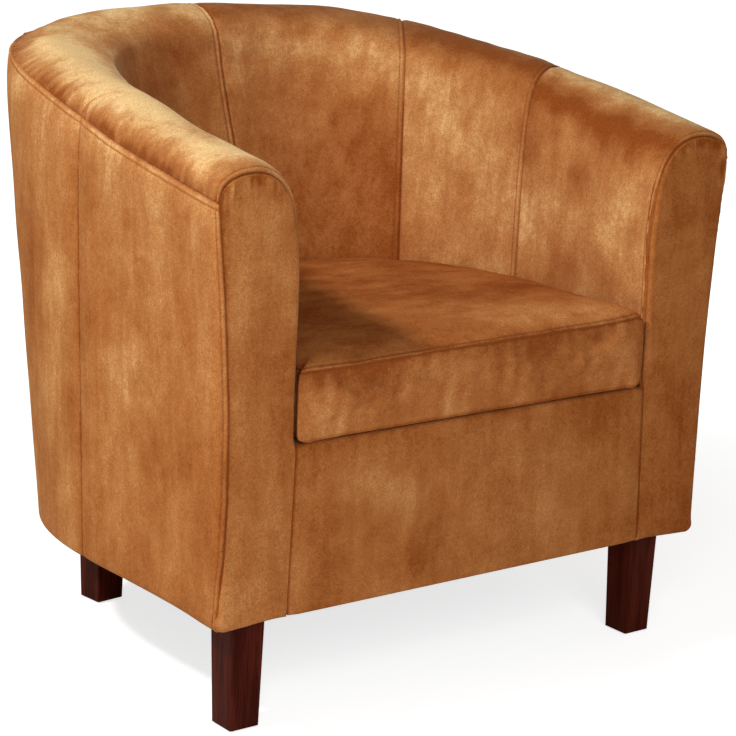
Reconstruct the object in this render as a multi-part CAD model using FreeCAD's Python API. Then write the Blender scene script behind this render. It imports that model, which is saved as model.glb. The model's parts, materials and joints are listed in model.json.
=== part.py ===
import FreeCAD
import Part
import math
import os

# Tub armchair with a padded horseshoe wall that is arms and back in one, a lift-out seat cushion
# and four tapered wooden legs. Millimetres, +Z up, the front faces -Y, X to the viewer's right.
# The origin is on the floor in the middle of the chair's width and depth.

# Outer form of the padded wall
top_width = 710.0
foot_width = 692.0
top_depth = 646.0
foot_depth = 537.0
straight_arm = 136.0
underside_height = 135.0
arm_seam_height = 592.5
back_seam_height = 692.5
outer_plan_power = 3.57

# Rolled top edge, measured in the upright section across the wall
roll_apex_inset = 53.0
roll_rise = 28.5
roll_drop = 60.0
outer_roll_shares = (0.30, 0.58)
inner_roll_shares = (0.70, 0.30)

# Inner faces of the wall
shoulder_width = 506.0
shoulder_back_wall = 106.0
shoulder_plan_power = 2.8
seat_space_width = 500.0
seat_space_depth = 441.0
seat_plan_power = 2.2
arm_bulge = 2.5
back_bulge = 8.0

# Seams across the horseshoe, as angles about the hub from the arm towards the middle of the back
arm_seam_angle = 22.5
back_seam_angle = 55.0
middle_angle = 90.0

# Facets of the smooth forms
arm_panel_steps = 2
side_panel_steps = 6
back_panel_steps = 5
roll_span_steps = (3, 3, 4, 4, 2, 2)
cushion_corner_steps = 3
tangent_angle = 0.5

# Sheet goods, battens and pads
cover_thickness = 2.5
fit_gap = 0.3
wall_board_thickness = 3.0
batten_width = 32.0
top_rail_height = 22.0
base_rim_width = 70.0
base_rim_height = 24.0
post_thickness = 28.0
post_depth = 26.0
post_setback = 3.5
facing_slack = 0.6
front_board_thickness = 15.0
front_pad_thickness = 10.0

# Seat
deck_height = 324.0
rail_seam_width_low = 512.0
webbing_thickness = 1.5
webbing_width = 50.0
lengthwise_straps = 5
crosswise_straps = 4
deck_cloth_thickness = 1.4
seat_rail_width = 70.0
seat_rail_height = 34.0
back_rail_width = 45.0
seat_rail_overrun = 20.0
seat_rail_angles = (0, arm_seam_angle, 40.0, 51.5)
strap_lap = 25.0
rail_flange_depth = 52.0

# Seat cushion
cushion_side_clearance = 1.0
cushion_height = 83.0
cushion_crown = 17.0
cushion_front_setback = 1.0
cushion_corner_radius = 9.0
cushion_side_draw = 3.0
crown_size_shares = (0.95, 0.87, 0.75, 0.55, 0.28)
crown_power = 3.8

# Legs
leg_foot_size = 37.6
leg_top_size = 43.4
front_leg_side_inset = 36.8
front_leg_front_inset = 26.3
back_leg_side_inset = 122.6
back_leg_back_inset = 86.1
back_leg_angle = 5.9
leg_edge_bevel = 1.5
glide_diameter = 22.0
glide_thickness = 2.0
bolt_diameter = 8.0
bolt_depth_in_leg = 35.0
tee_nut_flange_diameter = 22.0
tee_nut_flange_thickness = 1.5
tee_nut_barrel_diameter = 10.5
tee_nut_barrel_length = 12.0
bolt_stand_out = 4.0

# Underside
dust_cloth_thickness = 1.0
dust_cloth_inset = 4.0

# Places worked out from the sizes above
front_y = -top_depth / 2
hub_y = front_y + straight_arm
top_reach = top_depth - straight_arm
foot_reach = foot_depth - straight_arm
shoulder_reach = top_reach - shoulder_back_wall
seat_reach = seat_space_depth - straight_arm
seam_slope = (back_seam_height - arm_seam_height) / top_depth
skin = cover_thickness + fit_gap
board_depth = skin + wall_board_thickness + fit_gap
liner_depth = board_depth + batten_width + 2 * fit_gap
foam_depth = liner_depth + wall_board_thickness + fit_gap
cover_front_y = front_y + skin
front_board_y = cover_front_y + front_pad_thickness + fit_gap
frame_front_y = front_board_y + front_board_thickness + fit_gap
frame_foot_z = underside_height + dust_cloth_thickness + fit_gap
rim_top_z = frame_foot_z + base_rim_height
deck_cloth_z = deck_height - deck_cloth_thickness
lengthwise_z = deck_cloth_z - webbing_thickness
crosswise_z = lengthwise_z - webbing_thickness
seat_rail_z = crosswise_z - seat_rail_height
cushion_z = deck_height + fit_gap
top_seam_z = cushion_z + cushion_height


class Station:
    """An upright plane across the left half of the wall: ahead of the hub, or turned about it."""

    def __init__(self, ahead, turn):
        self.ahead = ahead
        self.turn = math.radians(turn)

    def place(self, reach, height):
        """Point in this plane at a reach from the plane's own axis."""
        x = -reach * math.cos(self.turn)
        y = hub_y - self.ahead + reach * math.sin(self.turn)
        return FreeCAD.Vector(x, y, height)


def arm_station(y):
    """Plane square to the straight arm."""
    return Station(hub_y - y, 0)


def turn_station(turn):
    """Plane through the hub, turned from the arm towards the back."""
    return Station(0, turn)


def spread(first, last, steps):
    """Stations at even turns from first to last."""
    return [turn_station(first + (last - first) * step / steps) for step in range(steps + 1)]


def arm_stations(start_y):
    """Stations of the arm, from its front to the arm seam."""
    return [arm_station(start_y)] + spread(0, arm_seam_angle, arm_panel_steps)


def side_stations():
    """Stations between the arm seam and the back seam."""
    return spread(arm_seam_angle, back_seam_angle, side_panel_steps)


def back_stations():
    """Stations from the back seam to the middle of the back."""
    return spread(back_seam_angle, middle_angle, back_panel_steps)


def plan_reach(turn, half_width, depth, power):
    """Reach from the hub to a plan curve that is square to the arm and square to the back."""
    across = (math.cos(turn) / half_width) ** power
    along = (math.sin(turn) / depth) ** power
    return (across + along) ** (-1 / power)


def skew(turn, half_width, depth, power):
    """How much longer a stretch across the wall is along this station than square to the wall."""
    step = math.radians(tangent_angle)
    before = max(turn - step, 0)
    after = min(turn + step, math.pi / 2)
    near = plan_reach(before, half_width, depth, power)
    far = plan_reach(after, half_width, depth, power)
    slope = (far - near) / ((after - before) * (far + near) / 2)
    return math.sqrt(1 + slope * slope)


def seam_height(station):
    """Height of the outer top seam, which climbs evenly from the arm front to the back."""
    reach = plan_reach(station.turn, top_width / 2, top_reach, outer_plan_power)
    y = station.place(reach, 0).y
    return arm_seam_height + seam_slope * (y - front_y)


def wall_reach(station, depth, height):
    """Reach of a point that lies a depth inside the outer face."""
    low = plan_reach(station.turn, foot_width / 2, foot_reach, outer_plan_power)
    high = plan_reach(station.turn, top_width / 2, top_reach, outer_plan_power)
    share = (height - underside_height) / (seam_height(station) - underside_height)
    stretch = skew(station.turn, top_width / 2, top_reach, outer_plan_power)
    return low + (high - low) * share - depth * stretch


def wall_direction(station, height):
    """Level direction along the wall, from the arm towards the back."""
    if station.turn == 0:
        return FreeCAD.Vector(0, 1, 0)
    turn = math.degrees(station.turn)
    step = tangent_angle
    near, far = [wall_point(turn_station(place), 0, height) for place in (turn - step, turn + step)]
    return (far - near).normalize()


def wall_point(station, depth, height):
    """Point a depth inside the outer face of the wall."""
    return station.place(wall_reach(station, depth, height), height)


def inner_bulge(station):
    """Swell of the padded inner face between its shoulder and the seat."""
    return arm_bulge + (back_bulge - arm_bulge) * math.sin(station.turn) ** 2


def inner_row(station, inset):
    """Points from the outer seam over the roll and down the inner face, moved inwards by an inset."""
    seam_z = seam_height(station)
    apex_z = seam_z + roll_rise - inset
    shoulder_z = seam_z + roll_rise - roll_drop
    stretch = skew(station.turn, top_width / 2, top_reach, outer_plan_power)
    seam = wall_reach(station, inset, seam_z)
    apex = wall_reach(station, roll_apex_inset, seam_z)
    shoulder = inset * stretch + plan_reach(station.turn, shoulder_width / 2, shoulder_reach,
                                            shoulder_plan_power)
    seat = inset * stretch + plan_reach(station.turn, seat_space_width / 2, seat_reach,
                                        seat_plan_power)
    outer_across, outer_up = outer_roll_shares
    inner_across, inner_down = inner_roll_shares
    return smooth_row([
        station.place(seam, seam_z),
        station.place(seam + (apex - seam) * outer_across, seam_z + (apex_z - seam_z) * outer_up),
        station.place(apex, apex_z),
        station.place(apex + (shoulder - apex) * inner_across,
                      apex_z + (shoulder_z - apex_z) * inner_down),
        station.place(shoulder, shoulder_z),
        station.place((shoulder + seat) / 2 - inner_bulge(station), (shoulder_z + deck_height) / 2),
        station.place(seat, deck_height),
    ], roll_span_steps)


def smooth_row(points, span_steps):
    """Points along a smooth curve through the given ones, a few to each span."""
    curve = Part.BSplineCurve()
    curve.interpolate(points)
    knots = curve.getKnots()
    row = []
    for start, end, steps in zip(knots, knots[1:], span_steps):
        row += [curve.value(start + (end - start) * step / steps) for step in range(steps)]
    return row + [points[-1]]


def polygon(points):
    """Closed wire of straight edges."""
    return Part.makePolygon(points + [points[0]])


def slab(points, travel):
    """Solid swept from a flat outline."""
    return Part.Face(polygon(points)).extrude(travel)


def flipped(points):
    """The same points on the other side of the chair."""
    return [FreeCAD.Vector(-point.x, point.y, point.z) for point in points]


def split(near, after_near, after_far, far):
    """Two flat facets of a four-cornered patch, cut along the diagonal that climbs backwards."""
    climb = (after_far.z - near.z) * (after_far.y - near.y)
    other_climb = (far.z - after_near.z) * (far.y - after_near.y)
    if climb < other_climb:
        return [after_near, after_far, far], [after_near, far, near]
    return [near, after_near, after_far], [near, after_far, far]


def faceted(rows):
    """Solid of flat facets through closed rows of points, with a flat end at both ends."""
    outlines = [list(reversed(rows[0])), rows[-1]]
    for near, far in zip(rows, rows[1:]):
        after_near = near[1:] + near[:1]
        after_far = far[1:] + far[:1]
        for patch in zip(near, after_near, after_far, far):
            outlines += split(*patch)
    solid = Part.Solid(Part.Shell([Part.Face(polygon(points)) for points in outlines]))
    if solid.Volume < 0:
        solid.reverse()
    return solid


def mirrored(shape):
    """The same piece on the right side of the chair."""
    return shape.mirror(FreeCAD.Vector(0, 0, 0), FreeCAD.Vector(1, 0, 0))


def block(low, high):
    """Box between two corners."""
    size = high - low
    return Part.makeBox(size.x, size.y, size.z, low)


def run(section, stations):
    """Piece of the left half of the wall along a row of stations."""
    return faceted([section(station) for station in stations])


def run_across(section, stations):
    """Piece of the wall from its first station over the middle to the same place on the right."""
    left = [section(station) for station in stations]
    right = [flipped(points) for points in reversed(left[:-1])]
    return faceted(left + right)


def pair(name, left):
    """A piece and its mirror image as two nodes."""
    return {name + "_left": left, name + "_right": mirrored(left)}


def inner_cover_section(station):
    """Cover strip over the roll and down the inner face to the seat deck."""
    return inner_row(station, 0) + list(reversed(inner_row(station, cover_thickness)))


def foam_section(station):
    """Foam over the top rail and on the liner, under the inner cover."""
    return inner_row(station, skin) + [wall_point(station, foam_depth, deck_height),
                                       wall_point(station, foam_depth, seam_height(station))]


def strip_section(depth, thickness, low_gap, high_gap):
    """Section of a sheet that follows the outer face from the underside to the seam."""
    def section(station):
        low = underside_height + low_gap
        high = seam_height(station) - high_gap
        return [wall_point(station, depth, low), wall_point(station, depth, high),
                wall_point(station, depth + thickness, high),
                wall_point(station, depth + thickness, low)]
    return section


def liner_section(station):
    """Fibreboard behind the inner foam, from the seat deck to the seam."""
    high = seam_height(station) - fit_gap
    return [wall_point(station, liner_depth, deck_height),
            wall_point(station, liner_depth, high),
            wall_point(station, liner_depth + wall_board_thickness, high),
            wall_point(station, liner_depth + wall_board_thickness, deck_height)]


def top_rail_section(station):
    """Batten under the roll that the boards and covers are fixed to."""
    high = seam_height(station) - fit_gap
    low = high - top_rail_height
    return [wall_point(station, board_depth, low), wall_point(station, board_depth, high),
            wall_point(station, board_depth + batten_width, high),
            wall_point(station, board_depth + batten_width, low)]


def base_rim_section(station):
    """Wide plywood rim that the posts stand on and the legs screw into."""
    return [wall_point(station, board_depth, frame_foot_z),
            wall_point(station, board_depth, rim_top_z),
            wall_point(station, board_depth + base_rim_width, rim_top_z),
            wall_point(station, board_depth + base_rim_width, frame_foot_z)]


def make_inner_covers():
    """Six cover panels over the roll and inside of arms and back."""
    panels = {}
    for name, stations in (("arm", arm_stations(cover_front_y)), ("side", side_stations()),
                           ("back", back_stations())):
        panels.update(pair("inner_cover_" + name, run(inner_cover_section, stations)))
    return panels


def make_foam():
    """Foam of the arms, of the round corners and of the back."""
    parts = pair("foam_arm", run(foam_section, arm_stations(frame_front_y)))
    parts.update(pair("foam_side", run(foam_section, side_stations())))
    parts["foam_back"] = run_across(foam_section, back_stations())
    return parts


def make_layer(name, section, start_y):
    """A wall layer as two arms and a back that meet at the arm seams."""
    parts = pair(name + "_arm", run(section, arm_stations(start_y)))
    parts[name + "_back"] = run_across(section, side_stations() + back_stations()[1:])
    return parts


def make_wall():
    """Outer covers, boards, liners, top rail and base rim of the horseshoe wall."""
    cover = strip_section(0, cover_thickness, 0, fit_gap)
    board = strip_section(skin, wall_board_thickness, frame_foot_z - underside_height, fit_gap)
    parts = make_layer("outer_cover", cover, cover_front_y)
    parts.update(make_layer("outer_board", board, frame_front_y))
    parts.update(make_layer("liner", liner_section, frame_front_y))
    parts.update(make_layer("top_rail", top_rail_section, frame_front_y))
    parts.update(make_layer("base_rim", base_rim_section, frame_front_y))
    return parts


def post(station):
    """Batten between base rim and top rail, leaning with the wall and cut to the rail's slope."""
    high_z = seam_height(station) - 3 * fit_gap - top_rail_height
    along = wall_direction(station, (rim_top_z + high_z) / 2)
    across = FreeCAD.Vector(along.y, -along.x, 0) * post_depth
    side = along * (post_thickness / 2)
    climb = FreeCAD.Vector(0, 0, seam_slope * side.y)
    rows = []
    for height, step in ((rim_top_z, side), (high_z, side + climb)):
        outer = wall_point(station, board_depth + post_setback, height)
        inner = outer + across
        rows.append([outer - step, outer + step, inner + step, inner - step])
    return faceted(rows)


def make_posts():
    """Posts at the arm front, at the arm seam and at the back seam."""
    posts = pair("post_front", post(arm_station(frame_front_y + post_thickness / 2)))
    posts.update(pair("post_side", post(turn_station(arm_seam_angle))))
    posts.update(pair("post_back", post(turn_station(back_seam_angle))))
    return posts


def rail_half_width(height):
    """Half width of the front rail between its two seams."""
    share = (height - underside_height) / (deck_height - underside_height)
    return (rail_seam_width_low + (seat_space_width - rail_seam_width_low) * share) / 2


def facing_slab(inset, foot_z, start_y, thickness):
    """Upright sheet with the outline of the arm front: outer face, roll, inner face, rail seam."""
    front = arm_station(front_y)
    points = inner_row(front, inset)
    points.append(FreeCAD.Vector(-rail_half_width(foot_z) - inset, front_y, foot_z))
    points.append(wall_point(front, inset, foot_z))
    shape = slab(points, FreeCAD.Vector(0, thickness, 0))
    shape.translate(FreeCAD.Vector(0, start_y - front_y, 0))
    return shape


def make_arm_fronts():
    """Facing cover, pad and plywood board at the front of each arm."""
    inset = skin + facing_slack
    parts = pair("arm_facing", facing_slab(0, underside_height, front_y, cover_thickness))
    parts.update(pair("arm_facing_pad",
                      facing_slab(inset, frame_foot_z, cover_front_y, front_pad_thickness)))
    parts.update(pair("arm_front_board",
                      facing_slab(inset, frame_foot_z, front_board_y, front_board_thickness)))
    return parts


def front_rail_slab(low_z, high_z, start_y, thickness):
    """Upright sheet between the two facings."""
    low = rail_half_width(low_z) - fit_gap
    high = rail_half_width(high_z) - fit_gap
    points = [FreeCAD.Vector(-low, start_y, low_z), FreeCAD.Vector(low, start_y, low_z),
              FreeCAD.Vector(high, start_y, high_z), FreeCAD.Vector(-high, start_y, high_z)]
    return slab(points, FreeCAD.Vector(0, thickness, 0))


def make_front_rail():
    """Cover, pad, board and battens below the front of the seat."""
    board_top = deck_height - skin
    cover = front_rail_slab(underside_height, deck_height, front_y, cover_thickness)
    half = rail_half_width(deck_height) - fit_gap
    flange = block(FreeCAD.Vector(-half, front_y, deck_height - cover_thickness),
                   FreeCAD.Vector(half, front_y + rail_flange_depth, deck_height))
    pad = front_rail_slab(frame_foot_z, board_top, cover_front_y, front_pad_thickness)
    board = front_rail_slab(frame_foot_z, board_top, front_board_y, front_board_thickness)
    station = arm_station(frame_front_y)
    base_half = wall_reach(station, board_depth + base_rim_width, frame_foot_z) - fit_gap
    base = block(FreeCAD.Vector(-base_half, frame_front_y, frame_foot_z),
                 FreeCAD.Vector(base_half, frame_front_y + base_rim_width, rim_top_z))
    return {
        "front_rail_cover": cover.fuse(flange).removeSplitter(),
        "front_rail_pad": pad,
        "front_rail_board": board,
        "front_base_rail": base,
    }


def rail_edge(station):
    """Point on the inner side of the posts at the foot of the seat rails."""
    return wall_point(station, board_depth + batten_width + fit_gap, seat_rail_z)


def side_rail_outer():
    """Half width of the seat frame along the arms."""
    return -rail_edge(arm_station(frame_front_y)).x


def back_rail_y():
    """Front side of the rail under the back of the seat."""
    return front_y + seat_space_depth - back_rail_width + seat_rail_overrun


def make_seat_frame():
    """Rails under the edge of the seat deck."""
    outer = side_rail_outer()
    inner = outer - seat_rail_width
    back_y = back_rail_y()
    high = seat_rail_z + seat_rail_height
    plan = [FreeCAD.Vector(-inner, frame_front_y, seat_rail_z),
            FreeCAD.Vector(-outer, frame_front_y, seat_rail_z)]
    plan += [rail_edge(turn_station(turn)) for turn in seat_rail_angles]
    plan.append(FreeCAD.Vector(-inner, plan[-1].y, seat_rail_z))
    left = slab(plan, FreeCAD.Vector(0, 0, seat_rail_height))
    front = block(FreeCAD.Vector(-inner, frame_front_y, seat_rail_z),
                  FreeCAD.Vector(inner, frame_front_y + back_rail_width, high))
    back = block(FreeCAD.Vector(-inner, back_y, seat_rail_z),
                 FreeCAD.Vector(inner, back_y + back_rail_width, high))
    return {
        "seat_rail_left": left,
        "seat_rail_right": mirrored(left),
        "seat_rail_front": front,
        "seat_rail_back": back,
    }


def straps(count, span, run_low, run_high, level, along_y):
    """Even row of flat webbing straps as one group."""
    pitch = span / count
    shapes = []
    for index in range(count):
        middle = -span / 2 + pitch * (index + 1 / 2)
        if along_y:
            low = FreeCAD.Vector(middle - webbing_width / 2, run_low, level)
            high = FreeCAD.Vector(middle + webbing_width / 2, run_high, level + webbing_thickness)
        else:
            centre = (front_y + frame_front_y) / 2 + seat_space_depth / 2
            low = FreeCAD.Vector(run_low, centre + middle - webbing_width / 2, level)
            high = FreeCAD.Vector(run_high, centre + middle + webbing_width / 2,
                                  level + webbing_thickness)
        shapes.append(block(low, high))
    return Part.makeCompound(shapes)


def make_seat_support():
    """Webbing both ways and the deck cloth over it."""
    inner = side_rail_outer() - seat_rail_width
    back = back_rail_y() + strap_lap
    cross_half = inner + strap_lap
    cloth_half = inner + strap_lap
    cloth_front = front_y + rail_flange_depth + fit_gap
    return {
        "webbing_lengthwise": straps(lengthwise_straps, 2 * inner, cloth_front, back,
                                    lengthwise_z, True),
        "webbing_crosswise": straps(crosswise_straps, back_rail_y() - frame_front_y - back_rail_width,
                                    -cross_half, cross_half, crosswise_z, False),
        "seat_deck_cloth": block(FreeCAD.Vector(-cloth_half, cloth_front, deck_cloth_z),
                                 FreeCAD.Vector(cloth_half, back, deck_height)),
    }


def cushion_reach(turn, inset):
    """Reach of the cushion's side from the hub."""
    clear = cushion_side_clearance + arm_bulge + inset
    back_clear = cushion_side_clearance + inset
    return plan_reach(turn, seat_space_width / 2 - clear, seat_reach - back_clear, seat_plan_power)


def cushion_row(height, inset):
    """Plan of the cushion: straight front with small round corners, straight sides, round back."""
    front = front_y + cushion_front_setback + inset
    half = cushion_reach(0, inset)
    corner = max(cushion_corner_radius - inset, fit_gap)
    right = []
    for step in range(cushion_corner_steps + 1):
        angle = math.pi / 2 * step / cushion_corner_steps
        right.append(FreeCAD.Vector(half - corner * (1 - math.sin(angle)),
                                    front + corner * (1 - math.cos(angle)), height))
    stations = arm_stations(front_y)[1:] + side_stations()[1:] + back_stations()[1:]
    for station in stations:
        right.append(flipped([station.place(cushion_reach(station.turn, inset), height)])[0])
    return right + list(reversed(flipped(right[:-1])))


def drawn_in(points, share, height):
    """A row of points drawn in about the middle of the seat and set at a height."""
    low = min(point.y for point in points)
    high = max(point.y for point in points)
    middle = (low + high) / 2
    return [FreeCAD.Vector(point.x * share, middle + (point.y - middle) * share, height)
            for point in points]


def cushion_body(inset):
    """Crowned block whose sides draw in between the lower and the upper seam."""
    low = cushion_z + inset
    high = top_seam_z - inset
    rim = cushion_row(high, inset)
    rows = [cushion_row(low, inset), cushion_row((low + high) / 2, inset + cushion_side_draw), rim]
    for share in crown_size_shares:
        rows.append(drawn_in(rim, share, high + cushion_crown * (1 - share ** crown_power)))
    return faceted(rows)


def make_cushion():
    """Foam core and its cover, which lift out together."""
    cover = cushion_body(0).cut(cushion_body(cover_thickness))
    return {
        "cushion_cover": cover,
        "cushion_core": cushion_body(skin),
    }


def leg(corner_x, face_y, turn):
    """Square leg that widens upwards, with its inner edges parallel to its outer ones."""
    foot_z = glide_thickness
    top_z = underside_height - fit_gap
    growth = (leg_top_size - leg_foot_size) / 2
    rows = []
    for size, height, step in ((leg_foot_size, foot_z, 0), (leg_top_size, top_z, growth)):
        bevel = leg_edge_bevel
        low = -step
        high = size - step
        corners = [(low + bevel, low), (high - bevel, low), (high, low + bevel),
                   (high, high - bevel), (high - bevel, high), (low + bevel, high),
                   (low, high - bevel), (low, low + bevel)]
        rows.append([FreeCAD.Vector(x, y, height) for x, y in corners])
    solid = faceted(rows)
    solid.rotate(FreeCAD.Vector(0, 0, 0), FreeCAD.Vector(0, 0, 1), turn)
    solid.translate(FreeCAD.Vector(corner_x, face_y, 0))
    return solid


def leg_centre(corner_x, face_y, turn):
    """Middle of a leg in plan."""
    half = leg_foot_size / 2
    angle = math.radians(turn)
    x = corner_x + half * (math.cos(angle) - math.sin(angle))
    y = face_y + half * (math.cos(angle) + math.sin(angle))
    return x, y


def leg_places():
    """Corner and turn of each left leg."""
    return {
        "leg_front": (front_leg_side_inset - foot_width / 2, front_y + front_leg_front_inset, 0),
        "leg_back": (back_leg_side_inset - foot_width / 2, hub_y + foot_reach - back_leg_back_inset,
                     back_leg_angle),
    }


def leg_centres():
    """Middles of all four legs."""
    centres = []
    for place in leg_places().values():
        x, y = leg_centre(*place)
        centres += [(x, y), (-x, y)]
    return centres


def cylinder(diameter, low, high, x, y):
    return Part.makeCylinder(diameter / 2, high - low, FreeCAD.Vector(x, y, low))


def make_legs():
    """Four legs bored for their bolts, with glides, bolts and tee nuts."""
    bolt_low = underside_height - bolt_depth_in_leg
    bolt_high = rim_top_z + tee_nut_flange_thickness + bolt_stand_out
    parts = {}
    for name, place in leg_places().items():
        x, y = leg_centre(*place)
        bore = cylinder(bolt_diameter, bolt_low, underside_height, x, y)
        left = leg(*place).cut(bore)
        parts[name + "_left"] = left
        parts[name + "_right"] = mirrored(left)
    glides = []
    bolts = []
    nuts = []
    for x, y in leg_centres():
        glides.append(cylinder(glide_diameter, 0, glide_thickness, x, y))
        bolts.append(cylinder(bolt_diameter, bolt_low, bolt_high, x, y))
        flange = cylinder(tee_nut_flange_diameter, rim_top_z,
                          rim_top_z + tee_nut_flange_thickness, x, y)
        barrel = cylinder(tee_nut_barrel_diameter, rim_top_z - tee_nut_barrel_length, rim_top_z, x, y)
        hole = cylinder(bolt_diameter, bolt_low, bolt_high, x, y)
        nuts.append(flange.fuse(barrel).cut(hole))
    parts["leg_glides"] = Part.makeCompound(glides)
    parts["leg_bolts"] = Part.makeCompound(bolts)
    parts["leg_tee_nuts"] = Part.makeCompound(nuts)
    return parts


def bored_for_legs(shape):
    """A rim with the holes for bolts and tee nuts."""
    for x, y in leg_centres():
        shape = shape.cut(cylinder(bolt_diameter, frame_foot_z, rim_top_z, x, y))
        shape = shape.cut(cylinder(tee_nut_barrel_diameter, rim_top_z - tee_nut_barrel_length,
                                   rim_top_z, x, y))
    return shape


def dust_cloth():
    """Cloth stapled under the frame, with holes for the leg bolts."""
    left = [FreeCAD.Vector(dust_cloth_inset - foot_width / 2, front_y + dust_cloth_inset,
                           underside_height)]
    stations = arm_stations(front_y)[1:] + side_stations()[1:] + back_stations()[1:]
    for station in stations:
        reach = plan_reach(station.turn, foot_width / 2, foot_reach, outer_plan_power)
        left.append(station.place(reach - dust_cloth_inset, underside_height))
    points = left + list(reversed(flipped(left[:-1])))
    cloth = slab(points, FreeCAD.Vector(0, 0, dust_cloth_thickness))
    for x, y in leg_centres():
        cloth = cloth.cut(cylinder(bolt_diameter, underside_height,
                                   underside_height + dust_cloth_thickness, x, y))
    return cloth


def build_parts():
    """All nodes of the chair by name."""
    parts = {}
    for maker in (make_inner_covers, make_foam, make_wall, make_posts, make_arm_fronts, make_front_rail,
                  make_seat_frame, make_seat_support, make_cushion, make_legs):
        parts.update(maker())
    for name in ("base_rim_arm_left", "base_rim_arm_right", "base_rim_back"):
        parts[name] = bored_for_legs(parts[name])
    parts["dust_cloth"] = dust_cloth()
    return parts


def main():
    os.makedirs("parts", exist_ok=True)
    for name, shape in build_parts().items():
        shape.exportStep(os.path.join("parts", name + ".step"))
        box = shape.BoundBox
        print(name, len(shape.Solids), shape.isValid(), round(shape.Volume / 1000, 1),
              [round(value, 1) for value in (box.XMin, box.YMin, box.ZMin,
                                             box.XMax, box.YMax, box.ZMax)])


main()
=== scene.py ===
import json
import logging
import math
from dataclasses import dataclass, field
from enum import Enum
from functools import lru_cache
from typing import ClassVar, Dict, List, Optional, Sequence, Tuple

import bmesh
import bpy
import numpy as np
from bpy.types import Material, Mesh, Node, NodeSocket, NodeTree, Object
from mathutils import Matrix, Vector
from mathutils.geometry import delaunay_2d_cdt


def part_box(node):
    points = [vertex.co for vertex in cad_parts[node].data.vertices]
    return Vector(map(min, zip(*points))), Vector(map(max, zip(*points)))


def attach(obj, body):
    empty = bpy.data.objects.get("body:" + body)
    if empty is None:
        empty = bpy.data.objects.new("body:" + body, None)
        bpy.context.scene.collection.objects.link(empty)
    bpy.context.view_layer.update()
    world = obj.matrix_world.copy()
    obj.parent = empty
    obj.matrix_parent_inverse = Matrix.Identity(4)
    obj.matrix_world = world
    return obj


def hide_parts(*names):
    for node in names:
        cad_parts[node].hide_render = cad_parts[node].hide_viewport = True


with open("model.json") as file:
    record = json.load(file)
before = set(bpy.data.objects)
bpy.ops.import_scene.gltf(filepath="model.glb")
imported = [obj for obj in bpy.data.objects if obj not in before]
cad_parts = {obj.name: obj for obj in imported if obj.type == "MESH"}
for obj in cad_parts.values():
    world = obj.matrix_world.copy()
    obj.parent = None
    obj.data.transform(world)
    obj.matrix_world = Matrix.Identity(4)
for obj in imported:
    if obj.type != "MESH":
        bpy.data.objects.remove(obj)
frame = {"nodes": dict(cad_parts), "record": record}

LOG = logging.getLogger("lounge_chair")
MM = 0.001
BODY = "chair_body"
SEAT = "seat_cushion"
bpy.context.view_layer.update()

Array = np.ndarray
Pair = Tuple[Array, Array]
Faces = List[List[int]]
Triple = Tuple[float, float, float]
Colour = Tuple[float, float, float, float]
Floats = Tuple[float, ...]


# ---------------------------------------------------------------- numbers and curves


def mm(*values: float) -> Floats:
    """Lengths in millimetres as metres."""
    return tuple(MM * value for value in values)


def runs_along(points: Array, axis: int = 0) -> Array:
    """Distances walked along an axis of a grid of points, from its first point."""
    steps = np.linalg.norm(np.diff(points, axis=axis), axis=-1)
    start = np.zeros_like(np.take(steps, [0], axis=axis))
    return np.concatenate([start, np.cumsum(steps, axis=axis)], axis=axis)


def smooth_step(low: float, high: float, value: Array) -> Array:
    """Rise from 0 at low to 1 at high with level ends.

    Args:
        low: Value that gives 0.
        high: Value that gives 1.
        value: Values to map.

    Returns:
        The mapped values.
    """
    share = np.clip((value - low) / (high - low), 0.0, 1.0)
    return share * share * (3.0 - 2.0 * share)


def bell(value: Array, width: float) -> Array:
    """Bell curve of 1 at 0 that fades over a width on both sides."""
    return np.exp(-(value / width) ** 2)


def fade(value: Array, reach: float) -> Array:
    """Exponential fall from 1 at 0 over a reach."""
    return np.exp(-value / reach)


def spline_basis(knots: Sequence[float], places: Array) -> Array:
    """Weights of a natural cubic spline, one row for each place and one column for each knot.

    Args:
        knots: Rising parameters of the points that the spline goes through.
        places: Parameters to evaluate it at.

    Returns:
        Matrix that turns the points' coordinates into the curve's.
    """
    knot = np.asarray(knots, float)
    count = len(knot)
    gap = np.diff(knot)
    system = np.eye(count)
    second = np.zeros((count, count))
    for i in range(1, count - 1):
        system[i, i - 1:i + 2] = gap[i - 1], 2.0 * (gap[i - 1] + gap[i]), gap[i]
        second[i, i - 1] = 6.0 / gap[i - 1]
        second[i, i] = -6.0 / gap[i - 1] - 6.0 / gap[i]
        second[i, i + 1] = 6.0 / gap[i]
    bend = np.linalg.solve(system, second)
    rows = np.zeros((len(places), count))
    for r, place in enumerate(places):
        i = int(np.clip(np.searchsorted(knot, place) - 1, 0, count - 2))
        left, right, h = knot[i + 1] - place, place - knot[i], gap[i]
        rows[r, i] += left / h
        rows[r, i + 1] += right / h
        rows[r] += bend[i] * (left ** 3 / h - left * h) / 6.0
        rows[r] += bend[i + 1] * (right ** 3 / h - right * h) / 6.0
    return rows


def graded(length: float, grades: Sequence[float], step: float, start: bool = True,
           end: bool = True) -> Array:
    """Places from 0 to a length, close together at a seam and evenly spaced between.

    Args:
        length: Whole length.
        grades: Fixed distances from a seam.
        step: Largest step between the seams.
        start: Whether a seam lies at 0.
        end: Whether a seam lies at the length.

    Returns:
        Rising places with both ends.
    """
    low = list(grades) if start else [0.0]
    high = [length - g for g in reversed(grades)] if end else [length]
    count = max(int(math.ceil((high[0] - low[-1]) / step)), 1)
    middle = [low[-1] + (high[0] - low[-1]) * i / count for i in range(1, count)]
    return np.array(low + middle + high)


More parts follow.
